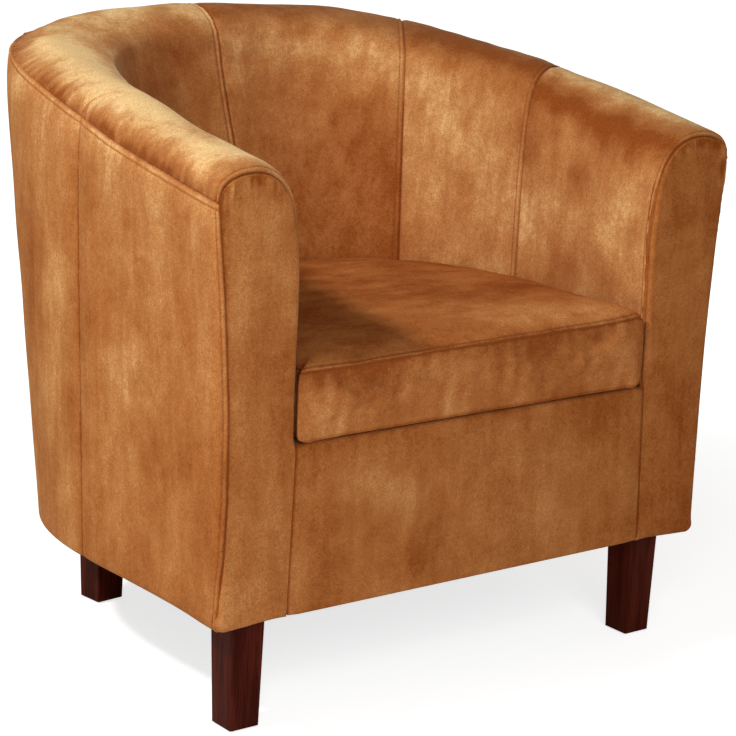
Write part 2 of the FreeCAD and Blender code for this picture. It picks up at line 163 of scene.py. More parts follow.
def waves(points: Array, length: float, seed: int, stretch: Triple = (1.0, 1.0, 1.0)) -> Array:
    """Smooth unevenness without a pattern, from a few crossing waves, between about -1 and 1.

    Args:
        points: Places in metres, in the last axis.
        length: Rough distance between swells.
        seed: Fixes the waves' directions and phases.
        stretch: Factors of the places along x, y and z.

    Returns:
        One value for each place.
    """
    rng = np.random.default_rng(seed)
    places, count = points * np.array(stretch), 9
    total = np.zeros(points.shape[:-1])
    for _ in range(count):
        way = rng.normal(size=3)
        way *= 2.0 * math.pi / (np.linalg.norm(way) * length * rng.uniform(0.7, 1.6))
        total += np.sin(places @ way + rng.uniform(0.0, 2.0 * math.pi))
    return total / math.sqrt(count)


# ---------------------------------------------------------------- seams


class Seam(Enum):
    """How the edge of a panel is sewn."""

    PLAIN = "plain"
    STITCHED = "stitched"
    HIDDEN = "hidden"


@dataclass(frozen=True)
class SeamShape:
    """Section of the cover beside a seam, in metres."""

    grades: Floats = mm(0, 0.45, 0.9, 1.5, 2.3, 3.3, 4.6, 5.8, 6.5, 7.0, 7.5, 8.2, 9.4, 11.2, 14,
                        18)
    stitch_index: int = 9
    groove_depth: float = 1.6 * MM
    groove_width: float = 1.3 * MM
    pull_depth: float = 1.3 * MM
    pull_width: float = 9.0 * MM
    stitch_depth: float = 0.9 * MM
    stitch_width: float = 1.4 * MM
    band_rise: float = 0.6 * MM
    ripple: float = 0.45 * MM
    ripple_reach: float = 11.0 * MM
    ripple_length: float = 11.0 * MM
    # Painted shade and dust in the seam's groove and beside it, painted shade along the stitch row
    # and a painted highlight on the raised band
    seam_shade_width: float = 3.0 * MM
    seam_shade_shares: Tuple[float, float] = (1.0, 0.4)
    thread_width: float = 0.9 * MM
    thread_shares: Tuple[float, float] = (0.6, 0.3)

    @property
    def stitch_offset(self) -> float:
        """Distance of the topstitch from the seam."""
        return self.grades[self.stitch_index]

    def depth(self, distance: Array, seam: Seam) -> Array:
        """How far the cover lies under its plain surface.

        Args:
            distance: Distances from the seam.
            seam: How this edge is sewn.

        Returns:
            Depths, positive inwards.
        """
        if seam is Seam.HIDDEN:
            return np.zeros_like(distance)
        offset, width = self.stitch_offset, self.stitch_width
        drop = self.groove_depth * bell(distance, self.groove_width)
        drop = drop + self.pull_depth * fade(distance, self.pull_width)
        if seam is Seam.STITCHED:
            drop = drop + self.stitch_depth * bell(distance - offset, width)
            drop = drop - self.band_rise * bell(distance - 0.5 * offset, width)
        return drop

    def seam_dust_and_shade(self, distance: Array, seam: Seam) -> Array:
        """Painted shade and dust in and beside a seam and along its topstitch, with a painted
        highlight on the band between them.

        Args:
            distance: Distances from the seam.
            seam: How this edge is sewn.

        Returns:
            Values below zero.
        """
        if seam is Seam.HIDDEN:
            return np.zeros_like(distance)
        offset = self.stitch_offset
        (line, side), (thread, band) = self.seam_shade_shares, self.thread_shares
        dark = line * bell(distance, self.groove_width)
        dark = dark + side * fade(distance, self.seam_shade_width)
        if seam is Seam.STITCHED:
            dark = dark + thread * bell(distance - offset, self.thread_width)
            dark = dark - band * bell(distance - 0.5 * offset, self.stitch_width)
        return -dark

    def puckers(self, distance: Array, points: Array, seed: int) -> Array:
        """Small gathers that run away from a sewn seam.

        Args:
            distance: Distances from the seam.
            points: Places of the same vertices.
            seed: Fixes the gathers.

        Returns:
            Offsets, positive outwards.
        """
        reach = fade(distance, self.ripple_reach) * smooth_step(0.0, 2.0 * MM, distance)
        return self.ripple * reach * waves(points, self.ripple_length, seed)


SEAM = SeamShape()


def fitted(model: Array, whole: float) -> Array:
    """Graded places stretched to another whole length, with both seams' zones as they are."""
    zone, edge = len(SEAM.grades), SEAM.grades[-1]
    places = model.copy()
    share = (model[zone:-zone] - edge) / (model[-1] - 2.0 * edge)
    places[zone:-zone] = edge + (whole - 2.0 * edge) * share
    places[-zone:] = whole - (model[-1] - model[-zone:])
    return places


# ---------------------------------------------------------------- the wall's form


@dataclass(frozen=True)
class WallForm:
    """The rule of the padded horseshoe wall, with the same sizes as its solids, in metres.

    A place along the wall is a travel: below zero on the straight left arm, in metres ahead of the
    hub, then the turn about the hub in radians, and past pi the metres ahead on the right arm.
    """

    top_half: float = 0.355
    foot_half: float = 0.346
    top_depth: float = 0.646
    foot_depth: float = 0.537
    straight_arm: float = 0.136
    underside: float = 0.135
    arm_seam_z: float = 0.5925
    back_seam_z: float = 0.6925
    outer_power: float = 3.57
    apex_inset: float = 0.053
    roll_rise: float = 0.0285
    roll_drop: float = 0.060
    outer_roll_rise: float = 0.60
    outer_roll_reaches: Floats = (0.13, 0.14, 0.18, 0.30, 0.44, 0.46, 0.30, 0.20)
    right_proud: float = 4.5 * MM
    right_drop: float = 3.0 * MM
    inner_roll: Tuple[float, float] = (0.70, 0.30)
    shoulder_half: float = 0.253
    shoulder_back_wall: float = 0.106
    shoulder_power: float = 2.8
    seat_half: float = 0.250
    seat_depth: float = 0.441
    seat_power: float = 2.2
    arm_bulge: float = 0.0025
    back_bulge: float = 0.008
    deck_z: float = 0.324
    foam_depth: float = 0.0413
    settle_turns: Floats = (0.0, 12.0, 24.0, 36.0, 48.0, 60.0, 75.0, 90.0)
    seam_lifts: Floats = mm(0, 1, 5, 8, 8.5, 6, 1, 0)
    roll_lifts: Floats = mm(6.5, 6, 0, -9, -14, -14.5, -6, -1)
    corner_spans: Floats = (0.0, 0.15, 0.7, 1.0, 1.0, 0.8, 0.35, 0.2)
    swell_shares: Floats = (0.0, 0.3, 0.6, 0.8, 0.93, 1.0)
    arm_swells: Floats = mm(0, -1, -0.5, 1.5, 4.5, 5.5)
    corner_swells: Floats = mm(8, 8.5, 8.5, 6.5, 3.5, -2.5)
    section_knots: Floats = (0.0, 0.0225, 0.0605, 0.0975, 0.1425, 0.2605, 0.3785)

    @property
    def front_y(self) -> float:
        """Front plane of the chair."""
        return -self.top_depth / 2.0

    @property
    def hub_y(self) -> float:
        """Where the arms stop being straight."""
        return self.front_y + self.straight_arm

    def turn(self, travel: Array) -> Array:
        """Turn about the hub at a travel."""
        return np.clip(travel, 0.0, math.pi)

    def ahead(self, travel: Array) -> Array:
        """Distance ahead of the hub at a travel."""
        return np.maximum(-travel, 0.0) + np.maximum(travel - math.pi, 0.0)

    def place(self, travel: Array, reach: Array, height: Array) -> Array:
        """Points at reaches and heights in the upright planes of the travels."""
        turn = self.turn(travel)
        x = -reach * np.cos(turn)
        y = self.hub_y - self.ahead(travel) + reach * np.sin(turn)
        return np.stack(np.broadcast_arrays(x, y, height), axis=-1)

    @staticmethod
    def plan(turn: Array, half: float, depth: float, power: float) -> Array:
        """Reach of a plan curve that is square to the arms and to the back."""
        across = (np.abs(np.cos(turn)) / half) ** power
        along = (np.abs(np.sin(turn)) / depth) ** power
        return (across + along) ** (-1.0 / power)

    def stretch(self, travel: Array) -> Array:
        """How much longer a depth is along the station than square to the wall."""
        turn, step = self.turn(travel), math.radians(0.5)
        depth = self.top_depth - self.straight_arm
        near = self.plan(turn - step, self.top_half, depth, self.outer_power)
        far = self.plan(turn + step, self.top_half, depth, self.outer_power)
        slope = (far - near) / (step * (far + near))
        return np.sqrt(1.0 + slope * slope)

    def settled(self, travel: Array, values: Sequence[float]) -> Array:
        """Smooth values over the turn, the same on both halves of the chair.

        Args:
            travel: Places along the wall.
            values: Values at the settle turns.

        Returns:
            The values at the places.
        """
        turn = np.degrees(self.turn(travel))
        turn = np.minimum(turn, 180.0 - turn)
        fine = np.linspace(0.0, 90.0, 181)
        curve = np.interp(fine, self.settle_turns, values)
        padded = np.concatenate([curve[20:0:-1], curve, curve[-2:-22:-1]])
        kernel = np.hanning(23)[1:-1]
        smooth = np.convolve(padded, kernel / kernel.sum(), "same")[20:-20]
        return np.interp(turn, fine, smooth)

    def swell(self, travel: Array, share: Array) -> Array:
        """How far the outer covers stand proud of the frame's outer face."""
        corner = self.settled(travel, self.corner_spans)
        share = np.clip(share, 0.0, 1.0)
        fine = np.linspace(0.0, 1.0, 101)
        kernel = np.hanning(17)[1:-1] / np.hanning(17)[1:-1].sum()
        curves = []
        for values in (self.arm_swells, self.corner_swells):
            rough = np.interp(fine, self.swell_shares, values)
            ends = np.concatenate([2 * rough[0] - rough[8:0:-1], rough,
                                   2 * rough[-1] - rough[-2:-10:-1]])
            curves.append(np.interp(share, fine, np.convolve(ends, kernel, "same")[8:-8]))
        settled = curves[0] * (1.0 - corner) + curves[1] * corner
        return settled + self.right_proud * self.right(travel)

    def right(self, travel: Array) -> Array:
        """How far a place belongs to the right arm, which is padded a little fuller."""
        return smooth_step(2.3, 3.0, travel)

    def seam_z(self, travel: Array) -> Array:
        """Height of the outer top seam, with the lift that the sewn cover has."""
        return self.frame_seam_z(travel) + self.settled(travel, self.seam_lifts)

    def frame_seam_z(self, travel: Array) -> Array:
        """Height of the outer top seam on the frame."""
        depth = self.top_depth - self.straight_arm
        reach = self.plan(self.turn(travel), self.top_half, depth, self.outer_power)
        y = self.place(travel, reach, np.zeros_like(reach))[..., 1]
        slope = (self.back_seam_z - self.arm_seam_z) / self.top_depth
        return self.arm_seam_z + slope * (y - self.front_y)

    def outer_reach(self, travel: Array, depth: Array, height: Array) -> Array:
        """Reach of the outer face, or of a point a depth inside it."""
        turn = self.turn(travel)
        low = self.plan(turn, self.foot_half, self.foot_depth - self.straight_arm, self.outer_power)
        high = self.plan(turn, self.top_half, self.top_depth - self.straight_arm, self.outer_power)
        share = (height - self.underside) / (self.seam_z(travel) - self.underside)
        proud = self.swell(travel, share)
        return low + (high - low) * share + (proud - depth) * self.stretch(travel)

    def outer(self, travel: Array, depth: Array, height: Array) -> Array:
        """Points of the outer face, or a depth inside it."""
        return self.place(travel, self.outer_reach(travel, depth, height), height)

    def controls(self, travel: Array, inset: float) -> Array:
        """Reach and height of the seven points that the inner outline goes through."""
        turn, stretch, seam_z = self.turn(travel), self.stretch(travel), self.seam_z(travel)
        top = self.top_depth - self.straight_arm
        lift = self.settled(travel, self.roll_lifts) - self.right_drop * self.right(travel)
        apex_z = seam_z + self.roll_rise + lift - inset
        shoulder_z = self.frame_seam_z(travel) + self.roll_rise - self.roll_drop
        seam = self.outer_reach(travel, np.full_like(turn, inset), seam_z)
        apex = self.outer_reach(travel, np.full_like(turn, self.apex_inset), seam_z)
        shoulder = inset * stretch + self.plan(
            turn, self.shoulder_half, top - self.shoulder_back_wall, self.shoulder_power)
        seat = inset * stretch + self.plan(
            turn, self.seat_half, self.seat_depth - self.straight_arm, self.seat_power)
        bulge = self.arm_bulge + (self.back_bulge - self.arm_bulge) * np.sin(turn) ** 2
        out_x, out_z = self.settled(travel, self.outer_roll_reaches), self.outer_roll_rise
        in_x, in_z = self.inner_roll
        rows = (
            (seam, seam_z),
            (seam + (apex - seam) * out_x, seam_z + (apex_z - seam_z) * out_z),
            (apex, apex_z),
            (apex + (shoulder - apex) * in_x, apex_z + (shoulder_z - apex_z) * in_z),
            (shoulder, shoulder_z),
            ((shoulder + seat) / 2.0 - bulge, (shoulder_z + self.deck_z) / 2.0),
            (seat, np.full_like(turn, self.deck_z)),
        )
        return np.stack([np.stack(row, axis=-1) for row in rows], axis=-2)

    def inner(self, travel: Array, basis: Array, inset: float = 0.0) -> Array:
        """Points of the roll and the inner face.

        Args:
            travel: Grid of travels, columns along the wall and rows down the section.
            basis: Spline weights of the rows.
            inset: Depth inside the face.

        Returns:
            Grid of points.
        """
        bent = np.einsum("rk,crkd->crd", basis, self.controls(travel, inset))
        return self.place(travel, bent[..., 0], bent[..., 1])

    def section_basis(self, places: Array) -> Array:
        """Spline weights at section parameters."""
        return spline_basis(self.section_knots, places)


WALL = WallForm()


# ---------------------------------------------------------------- meshes


def new_object(name: str, data: object) -> Object:
    """Object at the origin, linked to the scene."""
    thing = bpy.data.objects.new(name, data)
    bpy.context.scene.collection.objects.link(thing)
    return thing


def evaluated_mesh(thing: Object) -> Mesh:
    """Plain mesh of an object as its modifiers leave it."""
    graph = bpy.context.evaluated_depsgraph_get()
    return bpy.data.meshes.new_from_object(thing.evaluated_get(graph))


def bake_modifiers(thing: Object) -> Mesh:
    """Give an object the mesh that its modifiers make and remove them."""
    mesh, old = evaluated_mesh(thing), thing.data
    thing.modifiers.clear()
    thing.data = mesh
    bpy.data.meshes.remove(old)
    return mesh


def make_object(name: str, vertices: Array, faces: Sequence[Sequence[int]],
                material: Material) -> Object:
    """Smooth mesh object at the origin, with its faces turned outwards.

    Args:
        name: Object name.
        vertices: Points in metres.
        faces: Vertex numbers of each face.
        material: Its only material.

    Returns:
        The object, linked to the scene.
    """
    mesh = bpy.data.meshes.new(name)
    mesh.from_pydata([tuple(v) for v in vertices], [], [list(f) for f in faces])
    mesh.validate()
    mesh.materials.append(material)
    build = bmesh.new()
    build.from_mesh(mesh)
    bmesh.ops.recalc_face_normals(build, faces=build.faces)
    if build.calc_volume(signed=True) < 0.0:
        bmesh.ops.reverse_faces(build, faces=build.faces)
    for face in build.faces:
        face.smooth = True
    build.to_mesh(mesh)
    build.free()
    LOG.info("%s: %d faces", name, len(mesh.polygons))
    return new_object(name, mesh)


def paint(thing: Object, values: Array) -> None:
    """Store the pile's tone together with painted shade, light and sheen as a vertex attribute that
    the velvet reads.

    Args:
        thing: Mesh object.
        values: One value for each vertex, from -1 for dark to 1 for light.
    """
    layer = thing.data.attributes.new("pile_and_shading", "FLOAT", "POINT")
    layer.data.foreach_set("value", np.asarray(values, np.float32))


def paint_face(thing: Object, loops: Array, pile_and_shading: Array) -> None:
    """Paint the front rows of a body of loops and leave its hidden rows at zero."""
    values = np.zeros(loops.shape[:2])
    values[:, :pile_and_shading.shape[1]] = pile_and_shading
    paint(thing, values.reshape(-1))


def grid_normals(points: Array) -> Array:
    """Unit normals of a grid of points, from its rows and columns."""
    along = np.gradient(points, axis=0)
    down = np.gradient(points, axis=1)
    normal = np.cross(along, down)
    return normal / np.maximum(np.linalg.norm(normal, axis=-1, keepdims=True), 1e-12)


@dataclass
class Patch:
    """Grid of cover, columns along it and rows across it, with its distances from its seams."""

    points: Array
    distances: Dict[str, Array]
    seams: Dict[str, Seam]
    outward: Array
    seed: int

    def normals(self) -> Array:
        """Outward unit normals."""
        normal = grid_normals(self.points)
        middle = normal[normal.shape[0] // 2, normal.shape[1] // 2]
        target = self.outward[self.outward.shape[0] // 2, self.outward.shape[1] // 2]
        return normal if float(middle @ target) > 0.0 else -normal

    @property
    def down(self) -> Array:
        """Distances from the top seam."""
        return self.distances["top"]

    @property
    def near(self) -> Array:
        """Distances from the nearer side seam."""
        return np.minimum(self.distances["start"], self.distances["end"])

    def rounded(self, inset: Array) -> "Patch":
        """The same cover with its front edge drawn in round the arm's corner."""
        points = self.points - self.normals() * inset[..., None]
        return Patch(points, self.distances, self.seams, self.outward, self.seed)

    def sewn(self, lift: Optional[Array] = None) -> Array:
        """Points after the seams pull the cover in and gather it.

        Args:
            lift: Extra offsets outwards.

        Returns:
            The moved grid.
        """
        offset = np.zeros(self.points.shape[:2]) if lift is None else lift.copy()
        for number, (side, distance) in enumerate(sorted(self.distances.items())):
            seam = self.seams[side]
            offset -= SEAM.depth(distance, seam)
            if seam is not Seam.HIDDEN:
                offset += SEAM.puckers(distance, self.points, self.seed * 7 + number)
        return self.points + self.normals() * offset[..., None]

    def seam_dust_and_shade(self) -> Array:
        """Painted shade and dust in the seams and along their stitches, with a painted highlight on
        the bands, as a part of the shading values.
        """
        return sum(SEAM.seam_dust_and_shade(distance, self.seams[side])
                   for side, distance in self.distances.items())


def bands(count: int, ring: int) -> Faces:
    """Quads between closed loops in a row, each with the same number of points."""
    return [[i * ring + j, i * ring + (j + 1) % ring, (i + 1) * ring + (j + 1) % ring,
             (i + 1) * ring + j] for i in range(count - 1) for j in range(ring)]


def tube(loops: Array, front: int) -> Tuple[Array, Faces]:
    """Closed body of closed loops in a row, its ends closed by strips from front to back.

    Args:
        loops: Points, first axis the loops and second axis round each loop.
        front: How many points of a loop lie on its front side.

    Returns:
        Vertices and faces.
    """
    count, ring = loops.shape[:2]
    faces = bands(count, ring)
    for end in (0, count - 1):
        loop, start = loops[end], end * ring
        runs = runs_along(loop[:front]), runs_along(loop[:front - 1:-1])
        shares = [run / run[-1] for run in runs]
        i = j = 0
        while i < front - 1 or j < ring - front - 1:
            if j == ring - front - 1 or (i < front - 1 and shares[0][i + 1] <= shares[1][j + 1]):
                faces.append([start + i, start + i + 1, start + ring - 1 - j])
                i += 1
            else:
                faces.append([start + i, start + ring - 2 - j, start + ring - 1 - j])
                j += 1
    return loops.reshape(-1, 3), faces


def inside(point: Array, polygon: Array) -> bool:
    """Whether a point lies inside a closed outline."""
    after = np.roll(polygon, -1, axis=0)
    spans = (polygon[:, 1] > point[1]) != (after[:, 1] > point[1])
    rise = np.where(spans, after[:, 1] - polygon[:, 1], 1.0)
    cross = (after[:, 0] - polygon[:, 0]) * (point[1] - polygon[:, 1]) / rise + polygon[:, 0]
    return bool(np.count_nonzero(spans & (point[0] < cross)) % 2)


def fill_outline(edge: Array, pitch: float) -> Tuple[Array, Faces]:
    """Even triangles inside a closed flat outline.

    Args:
        edge: Points of the outline.
        pitch: Distance between the points inside it.

    Returns:
        Flat points and triangles.
    """
    coords = [Vector((float(x), float(z))) for x, z in edge]
    low, high = edge.min(axis=0), edge.max(axis=0)
    for row, z in enumerate(np.arange(low[1] + pitch, high[1], pitch * 0.866)):
        for x in np.arange(low[0] + pitch * (0.5 if row % 2 else 1.0), high[0], pitch):
            point = np.array((x, z))
            if inside(point, edge) and np.linalg.norm(edge - point, axis=1).min() > pitch * 0.65:
                coords.append(Vector((float(x), float(z))))
    ties = [(i, (i + 1) % len(edge)) for i in range(len(edge))]
    points, _, triangles, *_ = delaunay_2d_cdt(coords, ties, [], 1, 1e-7)
    return np.array([tuple(p) for p in points]), [list(t) for t in triangles]


def rounding(distance: Array, radius: Array) -> Array:
    """How far a round edge lies inside the square one.

    Args:
        distance: Distances from the square corner.
        radius: Radius of the edge.

    Returns:
        Insets, zero past the radius.
    """
    inside = np.clip(radius - distance, 0.0, radius)
    return radius - np.sqrt(np.maximum(radius * radius - inside * inside, 0.0))


def round_edge(run: Array, radius: Array) -> Tuple[Array, Array, Array]:
    """Follow a round edge from the front face to the side face.

    Args:
        run: Distances along the surface from where the front face starts to bend.
        radius: Radius of the edge.

    Returns:
        Depth behind the front face, inset from the side face and turn of the surface.
    """
    turn = np.minimum(run / radius, math.pi / 2.0)
    past = np.maximum(run - radius * math.pi / 2.0, 0.0)
    return radius * (1.0 - np.cos(turn)) + past, radius * (1.0 - np.sin(turn)), turn


# ---------------------------------------------------------------- materials


class Sheet:
    """A node tree that is being written."""

    def __init__(self, tree: NodeTree) -> None:
        """Start on a tree."""
        self.tree = tree

    def put(self, socket: NodeSocket, value: object) -> None:
        """Link another socket to a socket, or set its plain value."""
        if isinstance(value, NodeSocket):
            self.tree.links.new(value, socket)
        else:
            socket.default_value = value

    def feed(self, node: Node, **values: object) -> None:
        """Put values into a node's sockets, which are named with underscores for spaces."""
        for name, value in values.items():
            self.put(node.inputs[name.replace("_", " ")], value)

    def add(self, kind: str, **settings: object) -> Node:
        """Add a node; settings that aren't its properties go into its sockets."""
        node = self.tree.nodes.new(kind)
        for name, value in settings.items():
            if hasattr(node, name):
                setattr(node, name, value)
            else:
                self.feed(node, **{name: value})
        return node

    def join(self, kind: str, *values: object, **settings: object) -> NodeSocket:
        """First output of a new node, with values for its first sockets."""
        node = self.add(kind, **settings)
        for socket, value in zip(node.inputs, values):
            self.put(socket, value)
        return node.outputs[0]

    def math(self, operation: str, first: object, second: object) -> NodeSocket:
        """A math node on sockets or numbers."""
        return self.join("ShaderNodeMath", first, second, operation=operation)

    def remap(self, value: NodeSocket, low: float, high: float, new_low: float = 0.0,
              new_high: float = 1.0) -> NodeSocket:
        """A smooth map range."""
        return self.join("ShaderNodeMapRange", value, low, high, new_low, new_high,
                         interpolation_type="SMOOTHSTEP")

    def noise(self, vector: NodeSocket, scale: object, detail: float, roughness: float = 0.55,
              distortion: float = 0.0) -> NodeSocket:
        """A noise texture's value."""
        return self.add("ShaderNodeTexNoise", Vector=vector, Scale=scale, Detail=detail,
                        Roughness=roughness, Distortion=distortion).outputs[0]

    def mix(self, factor: NodeSocket, first: object, second: object) -> NodeSocket:
        """A colour mix."""
        node = self.add("ShaderNodeMix", data_type="RGBA")
        for number, value in ((0, factor), (6, first), (7, second)):
            self.put(node.inputs[number], value)
        return node.outputs[2]


def new_group(name: str, inputs: Dict[str, str], outputs: Dict[str, str],
              kind: str = "ShaderNodeTree") -> Tuple[Sheet, Node, Node]:
    """A node group with named sockets.

    Args:
        name: Group name.
        inputs: Socket kind of each named input.
        outputs: Socket kind of each named output.
        kind: Kind of node tree.

    Returns:
        The sheet to write on, its input node and its output node.
    """
    tree = bpy.data.node_groups.new(name, kind)
    for way, sockets in (("INPUT", inputs), ("OUTPUT", outputs)):
        for title, socket in sockets.items():
            tree.interface.new_socket(title, in_out=way, socket_type="NodeSocket" + socket)
    sheet = Sheet(tree)
    return sheet, sheet.add("NodeGroupInput"), sheet.add("NodeGroupOutput")


class Groups:
    """Effects that several materials share, each built once."""

    surface = {"Color": "Color", "Roughness": "Float", "Height": "Float"}

    @staticmethod
    @lru_cache(maxsize=None)
    def pile() -> NodeTree:
        """Mottled short pile: colour, roughness and height from patches, strokes and grain; the top
        of its tone range is a painted sheen colour.
        """
        sheet, given, out = new_group("Velvet pile", {
            "Vector": "Vector", "Stroke Vector": "Vector", "Patch Scale": "Float",
            "Lay": "Float", "Dark": "Color", "Middle": "Color", "Light": "Color",
            "Bloom": "Color"}, Groups.surface)
        vector, strokes = given.outputs["Vector"], given.outputs["Stroke Vector"]
        patches = sheet.noise(vector, given.outputs["Patch Scale"], 4.0, 0.55, 0.6)
        clouds = sheet.noise(vector, 34.0, 4.0, 0.6, 0.3)
        brushed = sheet.noise(strokes, 1.0, 4.0, 0.6, 0.2)
        flecks = sheet.noise(vector, 210.0, 3.0, 0.65, 0.4)
        grain = sheet.noise(vector, 640.0, 2.0, 0.7)
        tone = sheet.math("ADD", sheet.math("MULTIPLY", given.outputs["Lay"], 0.20), -0.29)
        for value, share in ((patches, 0.22), (clouds, 0.12), (brushed, 0.12), (flecks, 0.12)):
            clear = sheet.remap(value, 0.27, 0.73)
            tone = sheet.math("ADD", tone, sheet.math("MULTIPLY", clear, share))
        # Dark, middle and light are the pile's colours; the highest tones, which the crests reach,
        # turn to the cream Highlight colour, a painted sheen
        shade = given.outputs["Dark"]
        for name, low, high in (("Middle", -0.42, 0.06), ("Light", -0.06, 0.36),
                                ("Bloom", 0.18, 0.58)):
            shade = sheet.mix(sheet.remap(tone, low, high), shade, given.outputs[name])
        speckled = sheet.add("ShaderNodeVectorMath", operation="SCALE", Vector=shade,
                             Scale=sheet.remap(grain, 0.30, 0.70, 0.78, 1.22))
        height = sheet.math("ADD", sheet.math("MULTIPLY", grain, 0.5),
                            sheet.math("MULTIPLY", brushed, 0.5))
        sheet.feed(out, Color=speckled.outputs[0],
                   Roughness=sheet.remap(tone, -0.2, 0.2, 0.92, 0.74), Height=height)
        return sheet.tree

    @staticmethod
    @lru_cache(maxsize=None)
    def wood() -> NodeTree:
        """Straight wood grain: colour, roughness and height."""
        sheet, given, out = new_group("Wood grain", {
            "Vector": "Vector", "Dark": "Color", "Light": "Color", "Gloss": "Float"},
            Groups.surface)
        streaks = sheet.noise(given.outputs["Vector"], 1.0, 6.0, 0.62, 0.4)
        pores = sheet.noise(given.outputs["Vector"], 6.0, 2.0, 0.5)
        both = sheet.math("ADD", sheet.math("MULTIPLY", streaks, 0.7),
                          sheet.math("MULTIPLY", pores, 0.3))
        colour = sheet.mix(sheet.remap(both, 0.36, 0.64), given.outputs["Dark"],
                           given.outputs["Light"])
        rough = sheet.math("ADD", given.outputs["Gloss"], sheet.math("MULTIPLY", both, 0.16))
        sheet.feed(out, Color=colour, Roughness=rough, Height=both)
        return sheet.tree

    @staticmethod
    @lru_cache(maxsize=None)
    def weave() -> NodeTree:
        """Crossed threads: a mask and a height."""
        sheet, given, out = new_group("Crossed threads", {"Vector": "Vector", "Threads": "Float"},
                                      {"Mask": "Float", "Height": "Float"})
        halves = [sheet.add("ShaderNodeTexWave", wave_type="BANDS", bands_direction=axis,
                            Distortion=0.6, Vector=given.outputs["Vector"],
                            Scale=given.outputs["Threads"]).outputs["Fac"] for axis in "XY"]
        height = sheet.math("MAXIMUM", *halves)
        mottle = sheet.noise(given.outputs["Vector"], 60.0, 3.0)
        sheet.feed(out, Mask=sheet.math("MULTIPLY", height, mottle), Height=height)
        return sheet.tree


@dataclass(frozen=True)
class Finish:
    """What every finish has: a name, the relief of its surface and how it is begun."""

    name: str
    relief: ClassVar[Tuple[float, float]] = (0.2, 0.2 * MM)

    def begin(self) -> Tuple[Material, Sheet, Node, NodeSocket]:
        """New material with its sheet, its main shader and its object coordinates."""
        material = bpy.data.materials.new(self.name)
        material.use_nodes = True
        sheet = Sheet(material.node_tree)
        material.node_tree.nodes.clear()
        shader = sheet.add("ShaderNodeBsdfPrincipled")
        sheet.add("ShaderNodeOutputMaterial", Surface=shader.outputs[0])
        return material, sheet, shader, sheet.add("ShaderNodeTexCoord").outputs["Object"]

    @staticmethod
    def stretched(sheet: Sheet, vector: NodeSocket, scale: Triple, shift: Triple = (0.0, 0.0,
                  0.0)) -> NodeSocket:
        """Coordinates scaled by a Mapping node."""
        return sheet.add("ShaderNodeMapping", Scale=scale, Location=shift, Vector=vector).outputs[0]

    def bump(self, sheet: Sheet, height: NodeSocket) -> NodeSocket:
        """Normal that a height gives, with the finish's own relief."""
        strength, distance = self.relief
        return sheet.add("ShaderNodeBump", Strength=strength, Distance=distance,
                         Height=height).outputs[0]


@dataclass(frozen=True)
class Velvet(Finish):
    """Caramel short-pile velvet with brushed strokes, and a cream painted sheen colour for its
    highest tones.
    """

    relief: ClassVar[Tuple[float, float]] = (0.35, 0.4 * MM)
    strokes: Triple = (70.0, 70.0, 12.0)
    shift: Triple = (0.0, 0.0, 0.0)
    patch_scale: float = 9.0
    sheen: float = 0.25
    dark: Colour = (0.265, 0.064, 0.010, 1.0)
    middle: Colour = (0.430, 0.152, 0.042, 1.0)
    light: Colour = (0.605, 0.282, 0.098, 1.0)
    # Cream colour that the highest tones turn to: a painted sheen on the crests
    painted_sheen: Colour = (0.860, 0.580, 0.270, 1.0)
    sheen_roughness: float = 0.40
    sheen_tint: Colour = (1.0, 0.80, 0.50, 1.0)

    def material(self) -> Material:
        """Build the material."""
        material, sheet, shader, coordinates = self.begin()
        place = self.stretched(sheet, coordinates, (1.0, 1.0, 1.0), self.shift)
        pile_and_shading = sheet.add("ShaderNodeAttribute", attribute_name="pile_and_shading")
        pile = sheet.add("ShaderNodeGroup", node_tree=Groups.pile())
        sheet.feed(pile, Vector=place, Stroke_Vector=self.stretched(sheet, place, self.strokes),
                   Patch_Scale=self.patch_scale, Lay=pile_and_shading.outputs["Fac"], Dark=self.dark,
                   Middle=self.middle, Light=self.light, Bloom=self.painted_sheen)
        sheet.feed(shader, Base_Color=pile.outputs["Color"], Roughness=pile.outputs["Roughness"],
                   Normal=self.bump(sheet, pile.outputs["Height"]),
                   Sheen_Weight=self.sheen, Sheen_Roughness=self.sheen_roughness,
                   Sheen_Tint=self.sheen_tint, Specular_IOR_Level=0.0)
        return material


@dataclass(frozen=True)
class Wood(Finish):
    """Wood with straight grain."""

    relief: ClassVar[Tuple[float, float]] = (0.10, 0.3 * MM)
    dark: Colour = (0.036, 0.003, 0.0008, 1.0)
    light: Colour = (0.088, 0.012, 0.005, 1.0)
    grain: Triple = (90.0, 90.0, 5.0)
    gloss: float = 0.26
    specular: float = 0.05

    def material(self) -> Material:
        """Build the material."""
        material, sheet, shader, coordinates = self.begin()
        grain = sheet.add("ShaderNodeGroup", node_tree=Groups.wood())
        sheet.feed(grain, Vector=self.stretched(sheet, coordinates, self.grain), Dark=self.dark,
                   Light=self.light, Gloss=self.gloss)
        sheet.feed(shader, Base_Color=grain.outputs["Color"], Roughness=grain.outputs["Roughness"],
                   Normal=self.bump(sheet, grain.outputs["Height"]),
                   Specular_IOR_Level=self.specular)
        return material


@dataclass(frozen=True)
class Cloth(Finish):
    """Plain woven or bonded cloth."""

    relief: ClassVar[Tuple[float, float]] = (0.4, 0.3 * MM)
    colour: Colour = (0.02, 0.02, 0.02, 1.0)
    other: Colour = (0.045, 0.045, 0.045, 1.0)
    threads: float = 300.0

    def material(self) -> Material:
        """Build the material."""
        material, sheet, shader, coordinates = self.begin()
        weave = sheet.add("ShaderNodeGroup", node_tree=Groups.weave())
        sheet.feed(weave, Vector=coordinates, Threads=self.threads)
        sheet.feed(shader, Base_Color=sheet.mix(weave.outputs["Mask"], self.colour, self.other),
                   Normal=self.bump(sheet, weave.outputs["Height"]), Roughness=0.9)
        return material


